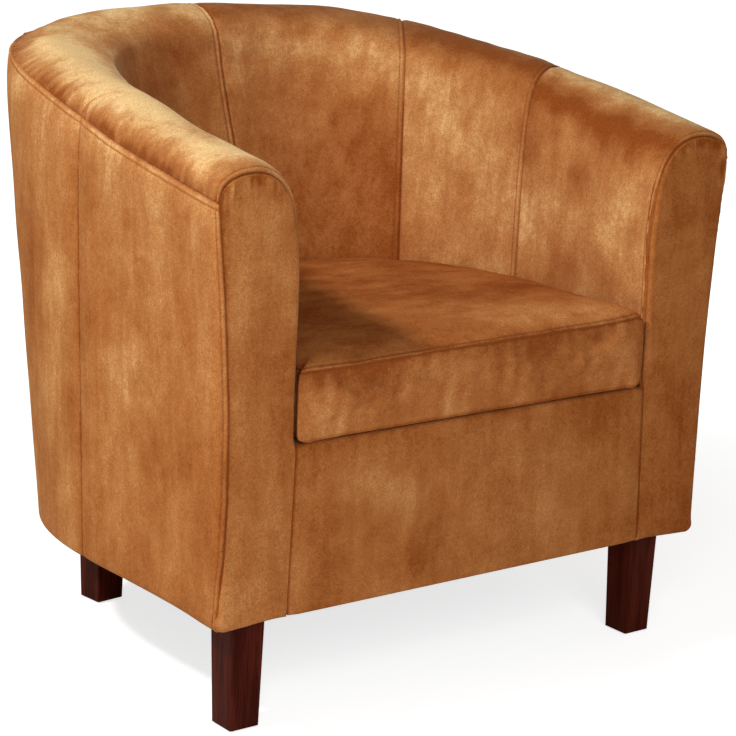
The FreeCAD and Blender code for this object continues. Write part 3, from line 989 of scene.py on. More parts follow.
@dataclass(frozen=True)
class Speckled(Finish):
    """Plain material with fine mottling: foam, moulded plastic or plated steel."""

    colour: Colour = (0.04, 0.035, 0.03, 1.0)
    other: Colour = (0.06, 0.052, 0.045, 1.0)
    roughness: Tuple[float, float] = (0.45, 0.6)
    metallic: float = 0.0
    specular: float = 0.5

    def material(self) -> Material:
        """Build the material."""
        material, sheet, shader, coordinates = self.begin()
        mottle = sheet.noise(coordinates, 400.0, 3.0)
        sheet.feed(shader, Base_Color=sheet.mix(mottle, self.colour, self.other),
                   Roughness=sheet.remap(mottle, 0.3, 0.7, *self.roughness),
                   Normal=self.bump(sheet, mottle),
                   Metallic=self.metallic, Specular_IOR_Level=self.specular)
        return material


class Wardrobe:
    """All finishes of the chair, each built once."""

    def __init__(self) -> None:
        """Build every material."""
        self.velvet = Velvet("velvet_wall", dark=(0.265, 0.066, 0.012, 1.0),
                             middle=(0.425, 0.156, 0.046, 1.0),
                             light=(0.600, 0.290, 0.105, 1.0)).material()
        self.velvet_outside = Velvet("velvet_outside", shift=(0.31, 0.12, 0.0),
                                     sheen=0.10).material()
        self.velvet_seat = Velvet("velvet_seat", (22.0, 70.0, 50.0), (0.7, 0.4, 0.2), sheen=0.0,
                                  dark=(0.280, 0.073, 0.016, 1.0),
                                  middle=(0.450, 0.158, 0.045, 1.0),
                                  light=(0.615, 0.285, 0.100, 1.0)).material()
        # Thread darker than the pile: partly its own colour, partly painted shade so that the sunk
        # stitches read as dark dashes
        self.thread = Speckled("sewing_thread", (0.24, 0.080, 0.020, 1.0),
                               (0.36, 0.145, 0.045, 1.0), (0.8, 0.9), specular=0.0).material()
        self.by_slot = {finish.name: finish.material() for finish in (
            Wood("leg_wood"),
            Wood("frame_wood", (0.42, 0.28, 0.14, 1.0), (0.66, 0.50, 0.30, 1.0),
                 (40.0, 40.0, 8.0), 0.6, 0.2),
            Speckled("fibreboard", (0.30, 0.20, 0.12, 1.0), (0.42, 0.30, 0.19, 1.0), (0.75, 0.9)),
            Speckled("foam", (0.72, 0.68, 0.52, 1.0), (0.85, 0.80, 0.66, 1.0), (0.85, 0.95)),
            Cloth("webbing", (0.20, 0.16, 0.11, 1.0), (0.36, 0.30, 0.21, 1.0)),
            Cloth("black_cloth"),
            Speckled("glide_plastic"),
            Speckled("steel_fasteners", (0.52, 0.52, 0.53, 1.0), (0.66, 0.66, 0.67, 1.0),
                     (0.3, 0.5), 1.0))}
        self.by_slot["velvet"] = self.velvet

    def dress_nodes(self) -> None:
        """Give every solid of the frame the material of its slot."""
        slots = {part["node"]: part["material_slot"] for part in frame["record"]["subparts"]}
        for name, thing in frame["nodes"].items():
            for place in thing.material_slots:
                place.material = self.by_slot[slots[name]]


# ---------------------------------------------------------------- stitches


class Fixing(Enum):
    """What a row is made of."""

    THREAD = "stitches"
    WIRE = "staples"


@dataclass
class Stitching:
    """Rows of stitches or staples, one plain mesh for each body, made by Geometry Nodes."""

    material: Material
    kind: Fixing = Fixing.THREAD
    slot: str = "velvet"
    length: float = 3.7 * MM
    pitch: float = 4.5 * MM
    thickness: float = 0.9 * MM
    sink: float = -0.05 * MM
    rows: Dict[str, List[Array]] = field(default_factory=dict)

    def add(self, body: str, row: Array) -> None:
        """Keep a row of points to be stitched."""
        self.rows.setdefault(body, []).append(row)

    def sew(self, seams: Dict[str, Seam], face: Array, normal: Array, part: slice) -> None:
        """Keep the rows of a panel's stitched seams.

        Args:
            seams: How the panel's edges are sewn.
            face: Grid of its face.
            normal: Unit normals of the face.
            part: Rows of the grid that the side seams' stitches reach over.
        """
        lifted = face + normal * self.sink
        for side, index in (("start", SEAM.stitch_index), ("end", -1 - SEAM.stitch_index)):
            if seams[side] is Seam.STITCHED:
                self.add(BODY, lifted[index, part])
        if seams["top"] is Seam.STITCHED:
            self.add(BODY, lifted[:, SEAM.stitch_index])

    def tree(self) -> NodeTree:
        """Node tree that lays a lump of thread or wire every pitch along the edges of a mesh."""
        sheet, given, out = new_group(
            "Stitch rows", {"Geometry": "Geometry", "Pitch": "Float", "Length": "Float",
                            "Thickness": "Float"}, {"Geometry": "Geometry"}, "GeometryNodeTree")
        thread, wide = self.kind is Fixing.THREAD, given.outputs["Thickness"]
        curve = sheet.add("GeometryNodeMeshToCurve", Mesh=given.outputs["Geometry"])
        spread = sheet.add("GeometryNodeResampleCurve", mode="LENGTH",
                           Curve=curve.outputs["Curve"], Length=given.outputs["Pitch"])
        lump = sheet.add("GeometryNodeMeshUVSphere", Segments=6, Rings=4, Radius=0.5
                         ) if thread else sheet.add("GeometryNodeMeshCube")
        size = sheet.add("ShaderNodeCombineXYZ", X=wide, Y=wide, Z=given.outputs["Length"])
        shaped = sheet.add("GeometryNodeTransform", Geometry=lump.outputs["Mesh"],
                           Scale=size.outputs[0])
        tangent = sheet.add("GeometryNodeInputTangent")
        turned = sheet.add("FunctionNodeAlignRotationToVector", axis="Z", Vector=tangent.outputs[0])
        placed = sheet.add("GeometryNodeInstanceOnPoints", Points=spread.outputs["Curve"],
                           Instance=shaped.outputs["Geometry"], Rotation=turned.outputs[0])
        real = sheet.add("GeometryNodeRealizeInstances", Geometry=placed.outputs["Instances"])
        soft = sheet.add("GeometryNodeSetShadeSmooth", Geometry=real.outputs["Geometry"],
                         Shade_Smooth=thread)
        dressed = sheet.add("GeometryNodeSetMaterial", Geometry=soft.outputs["Geometry"],
                            Material=self.material)
        sheet.feed(out, Geometry=dressed.outputs["Geometry"])
        return sheet.tree

    def build(self) -> None:
        """Bake the rows of each body and let them ride on it."""
        tree = self.tree()
        sizes = {"Pitch": self.pitch, "Length": self.length, "Thickness": self.thickness}
        for body, rows in self.rows.items():
            vertices, edges = [], []
            for row in rows:
                start = len(vertices)
                vertices += [tuple(point) for point in row]
                edges += [(start + i, start + i + 1) for i in range(len(row) - 1)]
            paths = bpy.data.meshes.new("stitch_paths")
            paths.from_pydata(vertices, edges, [])
            thing = new_object("stitch_paths_" + body, paths)
            modifier = thing.modifiers.new("Stitch rows", "NODES")
            modifier.node_group = tree
            for socket in tree.interface.items_tree:
                if socket.in_out == "INPUT" and socket.name in sizes:
                    modifier[socket.identifier] = sizes[socket.name]
            mesh = evaluated_mesh(thing)
            bpy.data.objects.remove(thing)
            mesh.name = self.kind.value + "_" + body
            stitches = new_object(mesh.name, mesh)
            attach(stitches, body)
            LOG.info("%s: %d rows, %d faces", mesh.name, len(rows), len(mesh.polygons))


# ---------------------------------------------------------------- the padded wall


@dataclass(frozen=True)
class Corner:
    """Round edge between an arm's front and the panels beside it, in metres.

    A seam run is the distance along the cover from where the flat front starts to bend.
    """

    sections: Floats = (0.0, 0.012, 0.03, 0.06, 0.10, 0.125, 0.15, 0.18, 0.21)
    roll_radii: Floats = mm(4, 6.5, 9.5, 10, 11, 12, 13, 13, 13)
    roll_runs: Floats = mm(1.0, 2.0, 3.5, 4, 5.5, 10, 15, 20.5, 24)
    right_roll_radii: Floats = mm(4, 6.5, 9.5, 10, 9, 7.5, 6, 6, 6)
    right_roll_runs: Floats = mm(1, 2, 3.5, 4, 5, 7, 9, 11, 12)
    heights: Floats = (0.132, 0.165, 0.21, 0.27, 0.36, 0.47, 0.55, 0.595)
    side_radii: Floats = mm(11, 11, 12, 13, 14, 11, 8, 6)
    side_runs: Floats = mm(13, 10, 5, 2.5, 1.5, 1.5, 1.2, 1.0)
    right_runs: Floats = mm(13, 11, 11, 12, 13, 10, 6, 1.0)

    def roll(self, section: Array, right: bool) -> Pair:
        """Radius and seam run beside the roll and the inner face."""
        radii = self.right_roll_radii if right else self.roll_radii
        runs = self.right_roll_runs if right else self.roll_runs
        return np.interp(section, self.sections, radii), np.interp(section, self.sections, runs)

    def side(self, height: Array, right: bool) -> Pair:
        """Radius and seam run beside the outer cover."""
        runs = self.right_runs if right else self.side_runs
        return (np.interp(height, self.heights, self.side_radii),
                np.interp(height, self.heights, runs))


CORNER = Corner()


@dataclass
class Panel:
    """What the inner and outer panels share: where they lie and how their edges are sewn."""

    name: str
    start: float
    end: float
    nodes: Tuple[str, ...]
    seams: Dict[str, Seam]
    seed: int

    @property
    def first(self) -> bool:
        """Whether the panel starts at the left arm's front."""
        return self.start < 0.0

    @property
    def last(self) -> bool:
        """Whether the panel ends at the right arm's front."""
        return self.end > math.pi


@dataclass
class InnerPanel(Panel):
    """One padded panel over the roll and down the inner face."""

    # Shades down the section at the tone places: pile tone, with painted sheen at the crests and
    # painted shadow at the foot of the left panels
    tones: Floats = (0.0,) * 9
    rust: Tuple[Triple, ...] = ()
    tone_places: Floats = (0.0, 0.018, 0.036, 0.060, 0.082, 0.100, 0.13, 0.22, 0.36)
    gather: float = 0.7 * MM
    gather_length: float = 11.0 * MM
    gather_reach: float = 20.0 * MM
    step: float = 3.6 * MM
    back_points: int = 16
    thin_until: float = 0.0284
    cover: float = 2.6 * MM
    rim_depth: float = 4.0 * MM
    swell: float = 0.9 * MM
    swell_length: float = 0.16
    ripple: float = 0.35 * MM
    ripple_length: float = 0.05

    def travel_table(self, sections: Array) -> Pair:
        """Travels of the grid, so that columns keep their distance from the seams in every row.

        Args:
            sections: Section parameters of the rows.

        Returns:
            Travels and distances from the first seam, columns by rows.
        """
        basis = WALL.section_basis(sections)
        first, last = self.first, self.last
        radius, run = CORNER.roll(sections, last)
        depth = round_edge(run, radius)[0]
        starts = depth - WALL.straight_arm if first else np.full(len(sections), self.start)
        ends = math.pi + WALL.straight_arm - depth if last else np.full(len(sections), self.end)
        shares = np.linspace(0.0, 1.0, 161)[:, None]
        fine = starts[None, :] + (ends - starts)[None, :] * shares
        points = WALL.inner(fine, basis)
        runs = runs_along(points)
        edge_run = radius * math.pi / 2.0
        extra = np.maximum(edge_run - run, 0.0) - np.maximum(radius - depth, 0.0)
        wholes = runs[-1] + (extra if first or last else 0.0)
        model = graded(float(wholes.max()), SEAM.grades, self.step)
        travels = np.zeros((len(model), len(sections)))
        places = np.zeros_like(travels)
        for row in range(len(sections)):
            whole = wholes[row]
            flat = place = places[:, row] = fitted(model, whole)
            if first:
                flat = round_edge(place + run[row], radius[row])[0] - depth[row]
            elif last:
                flat = runs[-1, row] + depth[row] - round_edge(
                    whole - place + run[row], radius[row])[0]
            travels[:, row] = np.interp(flat, runs[:, row], fine[:, row])
        return travels, places

    def patch(self) -> Tuple[Patch, Array, Array]:
        """Grid of the face with its travels and section parameters."""
        whole = WALL.section_knots[-1]
        sections = graded(whole, SEAM.grades, self.step, True, False)
        travels, places = self.travel_table(sections)
        basis = WALL.section_basis(sections)
        points = WALL.inner(travels, basis)
        down = runs_along(points, axis=1)
        distances = {"start": places, "end": places[-1:, :] - places, "top": down}
        hub = np.array((0.0, WALL.hub_y, WALL.deck_z))
        toward = hub - points
        return Patch(points, distances, self.seams, toward, self.seed), travels, sections

    def edge_inset(self, points: Array, sections: Array) -> Array:
        """Inset of the round edge at the arm's front."""
        inset = np.zeros(points.shape[:2])
        if self.first or self.last:
            ahead = points[..., 1] - WALL.front_y
            radii = CORNER.roll(sections, self.last)[0]
            inset = rounding(ahead, np.broadcast_to(radii, inset.shape))
        return inset

    def back(self, travels: Array, points: Array) -> Array:
        """Hidden side of the pad: on the liner, or close behind the cover at the arm's front."""
        travel, count = travels[:, -1], self.back_points
        half, seam_z = count // 2, WALL.seam_z(travel)
        foot = WALL.outer(travel, WALL.foam_depth, WALL.deck_z)
        crest = WALL.outer(travel, WALL.foam_depth, seam_z)
        rim = WALL.outer(travel, self.rim_depth, seam_z)
        rows = np.concatenate([np.linspace(foot, crest, half, axis=1),
                               np.linspace(crest, rim, count - half + 1, axis=1)[:, 1:]], axis=1)
        if self.first or self.last:
            thin = points[:, -1, 1] - WALL.front_y < self.thin_until
            basis = WALL.section_basis(np.linspace(WALL.section_knots[-1], 0.0, count))
            line = np.repeat(travel[thin, None], count, axis=1)
            rows[thin] = WALL.inner(line, basis, self.cover + self.rim_depth)
        return rows

    def lift(self, patch: Patch) -> Array:
        """Slow unevenness of the padding and gathers on the roll beside its seams."""
        points, down = patch.points, patch.down
        offset = self.swell * waves(points, self.swell_length, self.seed)
        offset = offset + self.ripple * waves(points, self.ripple_length, self.seed + 50)
        calm = smooth_step(0.0, 0.03, patch.near) * smooth_step(0.0, 0.02, down)
        reach = smooth_step(0.0, 3.0 * MM, down) * bell(down, self.gather_reach)
        return offset * calm + self.gather * self.gathers(patch) * reach

    def build(self, material: Material, stitching: Stitching) -> None:
        """Make the panel, its stitches and its pile.

        Args:
            material: The velvet.
            stitching: Where the rows of stitches are kept.
        """
        patch, travels, sections = self.patch()
        back = self.back(travels, patch.points)
        patch = patch.rounded(self.edge_inset(patch.points, sections))
        face = patch.sewn(self.lift(patch))
        loops = np.concatenate([face, back], axis=1)
        piece = make_object(self.name, *tube(loops, face.shape[1]), material)
        paint_face(piece, loops, self.pile_and_shading(patch, sections))
        stitching.sew(self.seams, face, patch.normals(), slice(2, None))
        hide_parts(*self.nodes)
        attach(piece, BODY)

    def pile_and_shading(self, patch: Patch, sections: Array) -> Array:
        """Pile and painted shading: shades down the section that are partly the pile's own tone,
        partly painted sheen at the crest and partly painted shadow, rust spots beside the gathers
        near the top seam, painted light and shade on the gathers and painted shade and dust in the
        seams.
        """
        points, down = patch.points, patch.down
        blur = waves(points, 0.055, self.seed + 11)
        shifted = sections[None, :] + 0.005 * blur * smooth_step(0.0, 0.03, sections)[None, :]
        value = np.interp(shifted, self.tone_places, self.tones)
        # Painted light and shade on the gathers, and a darker band along the top seam
        value = value + 0.8 * self.gathers(patch) * fade(down, 0.020) - 0.5 * bell(down, 0.012)
        value = value + 0.35 * np.minimum(waves(points, 0.045, self.seed + 31), 0.0)
        share = patch.distances["start"] / (patch.distances["start"] + patch.distances["end"])
        share = share + 0.05 * waves(points, 0.030, self.seed + 37)
        for place, width, depth in self.rust:
            spot = bell(share - place, width) * bell(down, 0.026 + 0.006 * blur)
            value = value - depth * spot
        ahead = points[..., 1] - WALL.front_y
        # The painted sheen and the lighter pile fade out towards the arm's front edge
        value = np.where(value > 0.0, value * smooth_step(-0.012, 0.045, ahead), value)
        # Painted shade and dust in the seams
        return value + 0.25 * waves(points, 0.12, self.seed + 23) + patch.seam_dust_and_shade()

    def gathers(self, patch: Patch) -> Array:
        """Small folds square to the outer seam."""
        start, down = patch.distances["start"], patch.down
        place = np.stack([start, 0.22 * down, np.zeros_like(down)], axis=-1)
        return waves(place, self.gather_length, self.seed + 41)


@dataclass(frozen=True)
class Foot:
    """Lower edge of the covers, which turns under and sags a little at the front legs."""

    drop: float = 3.2 * MM
    radius: float = 7.5 * MM
    sag: float = 3.6 * MM
    sag_length: float = 0.050
    turn_under: float = 24.0 * MM
    steps: int = 6

    def height(self, ahead: Array) -> Array:
        """Height of the lower edge at distances behind the chair's front corner."""
        return WALL.underside - self.drop - self.sag * bell(ahead, self.sag_length)

    def angles(self) -> Array:
        """Turns of the rows round the edge."""
        return np.linspace(0.0, math.pi / 2.0, self.steps + 1)[1:]


FOOT = Foot()


@dataclass
class OuterPanel(Panel):
    """One outer cover, from the top seam down to a strip under the chair."""

    step: float = 4.5 * MM
    thickness: float = 2.2 * MM
    top_puff: float = 3.2 * MM
    top_puff_reach: float = 12.0 * MM
    top_puff_fall: float = 0.10
    belly: float = 0.8 * MM
    swell: float = 0.5 * MM
    swell_length: float = 0.14

    def travels(self, heights: Array) -> Pair:
        """Travels of the grid, so that columns follow the round edge at the arm's front.

        Args:
            heights: Height of each row at the arm's front.

        Returns:
            Travels and distances from the first seam, columns by rows.
        """
        first, last = self.first, self.last
        radius, run = CORNER.side(heights, last)
        depth = round_edge(run, radius)[0]
        rows = len(heights)
        fine = np.linspace(self.start, self.end, 241)
        line = WALL.outer(fine, np.zeros_like(fine), WALL.seam_z(fine))
        flat = runs_along(line)
        columns = graded(float(flat[-1]), SEAM.grades, self.step)
        travels = np.zeros((len(columns), rows))
        places = np.zeros_like(travels)
        for row in range(rows):
            whole = flat[-1]
            if first or last:
                whole += max(radius[row] * math.pi / 2.0 - run[row], 0.0)
                whole -= depth[row] + max(radius[row] - depth[row], 0.0)
            at = place = places[:, row] = fitted(columns, whole)
            if first:
                at = round_edge(place + run[row], radius[row])[0]
            elif last:
                at = flat[-1] - round_edge(whole - place + run[row], radius[row])[0]
            travels[:, row] = np.interp(at, flat, fine)
        return travels, places

    def rows(self, top: Array, foot: Array, model: Array) -> Pair:
        """Heights and insets of one column's rows."""
        zone, low = len(SEAM.grades), SEAM.grades[-1]
        whole = top - foot - FOOT.radius
        drop = model.copy()
        drop[zone:] = low + (whole - low) * (model[zone:] - low) / (model[-1] - low)
        angles = FOOT.angles()
        under = np.linspace(FOOT.radius, FOOT.turn_under, 5)[1:]
        heights = np.concatenate([top - drop, foot + FOOT.radius * (1.0 - np.sin(angles)),
                                  np.full(len(under), foot)])
        insets = np.concatenate([np.zeros(len(drop)), FOOT.radius * (1.0 - np.cos(angles)), under])
        return heights, insets

    def patch(self) -> Tuple[Patch, int]:
        """Grid of the cover, and the number of its rows above the round lower edge."""
        fine = np.linspace(self.start, self.end, 60)
        tallest = float(WALL.seam_z(fine).max())
        model = graded(tallest - WALL.underside, SEAM.grades, self.step * 1.3, True, False)
        ahead = np.full(1, -WALL.straight_arm)
        foot = float(FOOT.height(np.zeros(1))[0])
        front = self.rows(float(WALL.seam_z(ahead)[0]), foot, model)[0]
        travels, places = self.travels(front)
        points = np.zeros(travels.shape + (3,))
        for c in range(len(travels)):
            middle = np.full(1, travels[c, len(model) // 2])
            behind = WALL.straight_arm - WALL.ahead(middle)
            behind = behind + WALL.top_half * np.sin(WALL.turn(middle))
            heights, insets = self.rows(float(WALL.seam_z(middle)[0]),
                                        float(FOOT.height(behind)[0]), model)
            points[c] = WALL.outer(travels[c], insets, heights)
        down = runs_along(points, axis=1)
        distances = {"start": places, "end": places[-1:] - places, "top": down}
        away = points - np.array((0.0, WALL.hub_y, 0.4))
        return Patch(points, distances, self.seams, away, self.seed), len(model)

    def build(self, material: Material, stitching: Stitching) -> None:
        """Make the cover, its stitches and its pile.

        Args:
            material: The velvet.
            stitching: Where the rows of stitches are kept.
        """
        patch, straight = self.patch()
        points, down, near = patch.points, patch.down, patch.near
        if self.first or self.last:
            patch = patch.rounded(rounding(points[..., 1] - WALL.front_y,
                                           CORNER.side(points[..., 2], False)[0]))
        calm = smooth_step(0.0, 0.03, near) * smooth_step(0.0, 0.03, down)
        calm = calm * smooth_step(WALL.underside, WALL.underside + 0.04, points[..., 2])
        lift = calm * (self.belly + self.swell * waves(points, self.swell_length, self.seed))
        puff = self.top_puff * (1.0 - fade(down, self.top_puff_reach))
        puff = puff * fade(down, self.top_puff_fall)
        corner = bell(points[..., 1] - WALL.front_y, 0.02)
        lift = lift + puff * (1.0 - corner) * smooth_step(0.0, 0.02, near)
        face = patch.sewn(lift)
        normal = patch.normals()
        inner = face - normal * self.thickness
        keep = [points.shape[1] - 1, straight + FOOT.steps - 1, straight - 1, straight // 2,
                len(SEAM.grades), 0]
        loops = np.concatenate([face, inner[:, keep]], axis=1)
        piece = make_object(self.name, *tube(loops, face.shape[1]), material)
        pile_and_shading = 0.15 + 0.45 * waves(points, 0.09, self.seed + 5, (1.0, 1.0, 0.35))
        # Lighter towards the top seam, darker near the side seams, and painted shade and dust in
        # the seams
        pile_and_shading = pile_and_shading + 0.9 * fade(down, 0.045) - 0.25 * fade(near, 0.02) + patch.seam_dust_and_shade()
        paint_face(piece, loops, pile_and_shading)
        stitching.sew(self.seams, face, normal, slice(SEAM.stitch_index, straight))
        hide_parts(*self.nodes)
        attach(piece, BODY)


@dataclass
class ArmFront:
    """Padded facing of one arm's front."""

    name: str
    side: float
    nodes: Tuple[str, ...]
    seed: int
    rail_low_half: float = 0.256
    puff: float = 2.2 * MM
    puff_reach: float = 26.0 * MM
    rail_radius: float = 3.0 * MM
    foot_corner: float = 12.0 * MM
    back_depth: float = 12.6 * MM
    tuck: float = 0.5 * MM
    spacing: float = 2.6 * MM
    rings: int = 9
    tone: float = 0.0
    swell: float = 0.3 * MM
    swell_length: float = 0.06
    gather: float = 1.1 * MM
    gather_length: float = 6.5 * MM

    def outline(self) -> Tuple[Array, Array, Array, Array]:
        """Square outline in x and z, with the round edge, the seam and the groove at each point.

        Returns:
            Points, radii, seam runs and groove shares.
        """
        rim = WALL.section_knots[-1]
        sections = np.arange(0.0, rim, self.spacing)
        front = -WALL.straight_arm if self.side < 0.0 else math.pi + WALL.straight_arm
        travel = np.full((1, len(sections)), front)
        roll = self.to_left(WALL.inner(travel, WALL.section_basis(sections))[0])
        deck, foot = WALL.deck_z, float(FOOT.height(np.zeros(1))[0])
        rail_foot = WALL.underside - FOOT.drop
        count = int((deck - rail_foot) / self.spacing)
        shares = np.linspace(0.0, 1.0, count + 1)
        inner = np.stack([-(WALL.seat_half + (self.rail_low_half - WALL.seat_half) * shares),
                          deck - (deck - rail_foot) * shares], axis=-1)
        seam_z = float(WALL.seam_z(np.full(1, front))[0])
        heights = np.linspace(foot + self.foot_corner, seam_z,
                              int((seam_z - foot) / self.spacing))[:-1]
        line = np.full(len(heights), front)
        rise = self.to_left(WALL.outer(line, np.zeros(len(heights)), heights))
        angles = np.linspace(math.pi / 2.0, 0.0, 7)[:-1]
        bend = np.stack([rise[0, 0] + self.foot_corner * (1.0 - np.cos(angles)),
                         foot + self.foot_corner * (1.0 - np.sin(angles))], axis=-1)
        count = int((abs(bend[0, 0]) - self.rail_low_half) / self.spacing)
        x = np.linspace(-self.rail_low_half, bend[0, 0], count + 1)[1:-1]
        low = np.stack([x, FOOT.height(x - rise[0, 0])], axis=-1)
        points = np.concatenate([roll, inner, low, bend, rise])
        roll_radius, roll_run = CORNER.roll(sections, self.side > 0.0)
        side_radius, side_run = CORNER.side(heights, self.side > 0.0)
        under = len(low) + len(bend)
        radii = np.concatenate([roll_radius, np.full(len(inner), self.rail_radius),
                                np.full(under, FOOT.radius), side_radius])
        runs = np.concatenate([roll_run, np.full(len(inner), self.rail_radius * 1.5),
                               np.full(under, FOOT.radius * math.pi / 2.0 + 12.0 * MM), side_run])
        groove = np.concatenate([np.ones(len(roll)), np.full(len(inner), 0.6), np.zeros(under),
                                 np.ones(len(rise))])
        for _ in range(8):
            radii, runs, groove = ((np.roll(v, 1) + v + np.roll(v, -1)) / 3.0
                                   for v in (radii, runs, groove))
        return points, radii, runs, groove

    def build(self, material: Material) -> None:
        """Make the facing.

        Args:
            material: The velvet.
        """
        outline, radii, runs, groove = self.outline()
        inward, count = self.inward(outline), len(outline)
        left = [runs * (1.0 - step / self.rings) for step in range(self.rings + 1)]
        rows = []
        for step, gap in enumerate(left):
            depth, inset, turn = round_edge(runs * step / self.rings, radii)
            drop = SEAM.depth(gap, Seam.PLAIN) * groove
            rows.append(self.row(outline + inward * (inset + drop * np.sin(turn))[:, None],
                                 depth + drop * np.cos(turn)))
        edge = outline + inward * radii[:, None]
        flat, triangles = fill_outline(edge, self.spacing * 1.15)
        gaps = np.linalg.norm(flat[:, None] - edge[None], axis=2)
        nearest, gap = gaps.argmin(axis=1), gaps.min(axis=1)
        distance = gap + runs[nearest]
        swell, folds = self.padding(self.row(flat, 0.0), gap)
        drop = SEAM.depth(distance, Seam.PLAIN) * groove[nearest]
        body = self.row(flat, drop - swell)
        first_ring = self.match(flat, edge)
        shift = body[first_ring, 1] - rows[0][:, 1]
        rings = [row + np.outer(shift * (1.0 - step / self.rings), (0.0, 1.0, 0.0))
                 for step, row in enumerate(rows)][1:]
        inset = round_edge(runs, radii)[1]
        for extra, depth in ((self.tuck, rows[-1][:, 1] - WALL.front_y + 0.6 * MM),
                             (self.tuck * 1.1, self.back_depth)):
            rings.append(self.row(outline + inward * (inset + extra)[:, None], depth))
        numbers = [np.array(first_ring)]
        numbers += [len(body) + count * i + np.arange(count) for i in range(len(rings))]
        faces = list(triangles)
        for near, far in zip(numbers, numbers[1:]):
            faces += np.stack([near, np.roll(near, -1), np.roll(far, -1), far], axis=1).tolist()
        faces.append(numbers[-1].tolist())
        points = np.concatenate([body] + rings)
        seam_dust_and_shade = [SEAM.seam_dust_and_shade(distance, Seam.PLAIN) * groove[nearest]]
        seam_dust_and_shade += [SEAM.seam_dust_and_shade(gap, Seam.PLAIN) * groove for gap in left[1:] + [0.0 * runs] * 2]
        # The right arm's front is painted darker by its tone, painted shade for light that falls
        # off towards the right; the seams get painted shade and dust, stronger on the left arm
        pile_and_shading = self.tone + np.concatenate(seam_dust_and_shade) * (0.5 if self.side > 0.0 else 1.5)
        pile_and_shading = pile_and_shading + 0.3 * waves(points, 0.06, self.seed + 9, (1.0, 1.0, 0.3))
        pile_and_shading = pile_and_shading - 0.5 * smooth_step(0.57, 0.61, points[:, 2]) * (
            0.6 + 0.4 * waves(points, 0.03, self.seed + 8))
        # Painted light and shade of the gathers under the arc
        pile_and_shading[:len(body)] += folds
        if self.side > 0.0:
            points = points * np.array((-1.0, 1.0, 1.0))
        piece = make_object(self.name, points, faces, material)
        paint(piece, pile_and_shading)
        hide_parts(*self.nodes)
        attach(piece, BODY)

    def padding(self, body: Array, gap: Array) -> Pair:
        """How far the padding swells, and how its gathers shade the pile.

        Args:
            body: Points of the flat front.
            gap: Their distances from its edge.

        Returns:
            Swells and shades.
        """
        swell = self.puff * (1.0 - np.exp(-(gap / self.puff_reach) ** 1.5))
        swell = swell + self.swell * waves(body, self.swell_length, self.seed)
        arc = smooth_step(0.55, 0.585, body[:, 2]) * smooth_step(-0.27, -0.30, body[:, 0])
        gather = waves(body, self.gather_length, self.seed + 3, (1.0, 0.0, 0.2))
        reach = bell(gap - 0.003, 0.008) * arc
        return swell + self.gather * gather * reach, (1.1 * gather - 0.5) * reach

    @staticmethod
    def inward(outline: Array) -> Array:
        """Unit directions square to a closed outline, towards its middle."""
        tangent = np.roll(outline, -1, axis=0) - np.roll(outline, 1, axis=0)
        tangent /= np.linalg.norm(tangent, axis=1, keepdims=True)
        inward = np.stack([tangent[:, 1], -tangent[:, 0]], axis=-1)
        toward = np.sum(inward * (outline.mean(axis=0) - outline), axis=1)
        return inward if float(np.mean(toward)) >= 0.0 else -inward

    @staticmethod
    def row(flat: Array, depth: object) -> Array:
        """Points from their x and z and their depths behind the front plane."""
        y = np.broadcast_to(WALL.front_y + depth, len(flat))
        return np.stack([flat[:, 0], y, flat[:, 1]], axis=-1)

    @staticmethod
    def to_left(points: Array) -> Array:
        """Points as x and z on the left arm."""
        return np.column_stack([-np.abs(points[:, 0]), points[:, 2]])

    @staticmethod
    def match(points: Array, targets: Array) -> List[int]:
        """Number of the vertex that lies on each target."""
        return [int(np.argmin(np.linalg.norm(points - target, axis=1))) for target in targets]


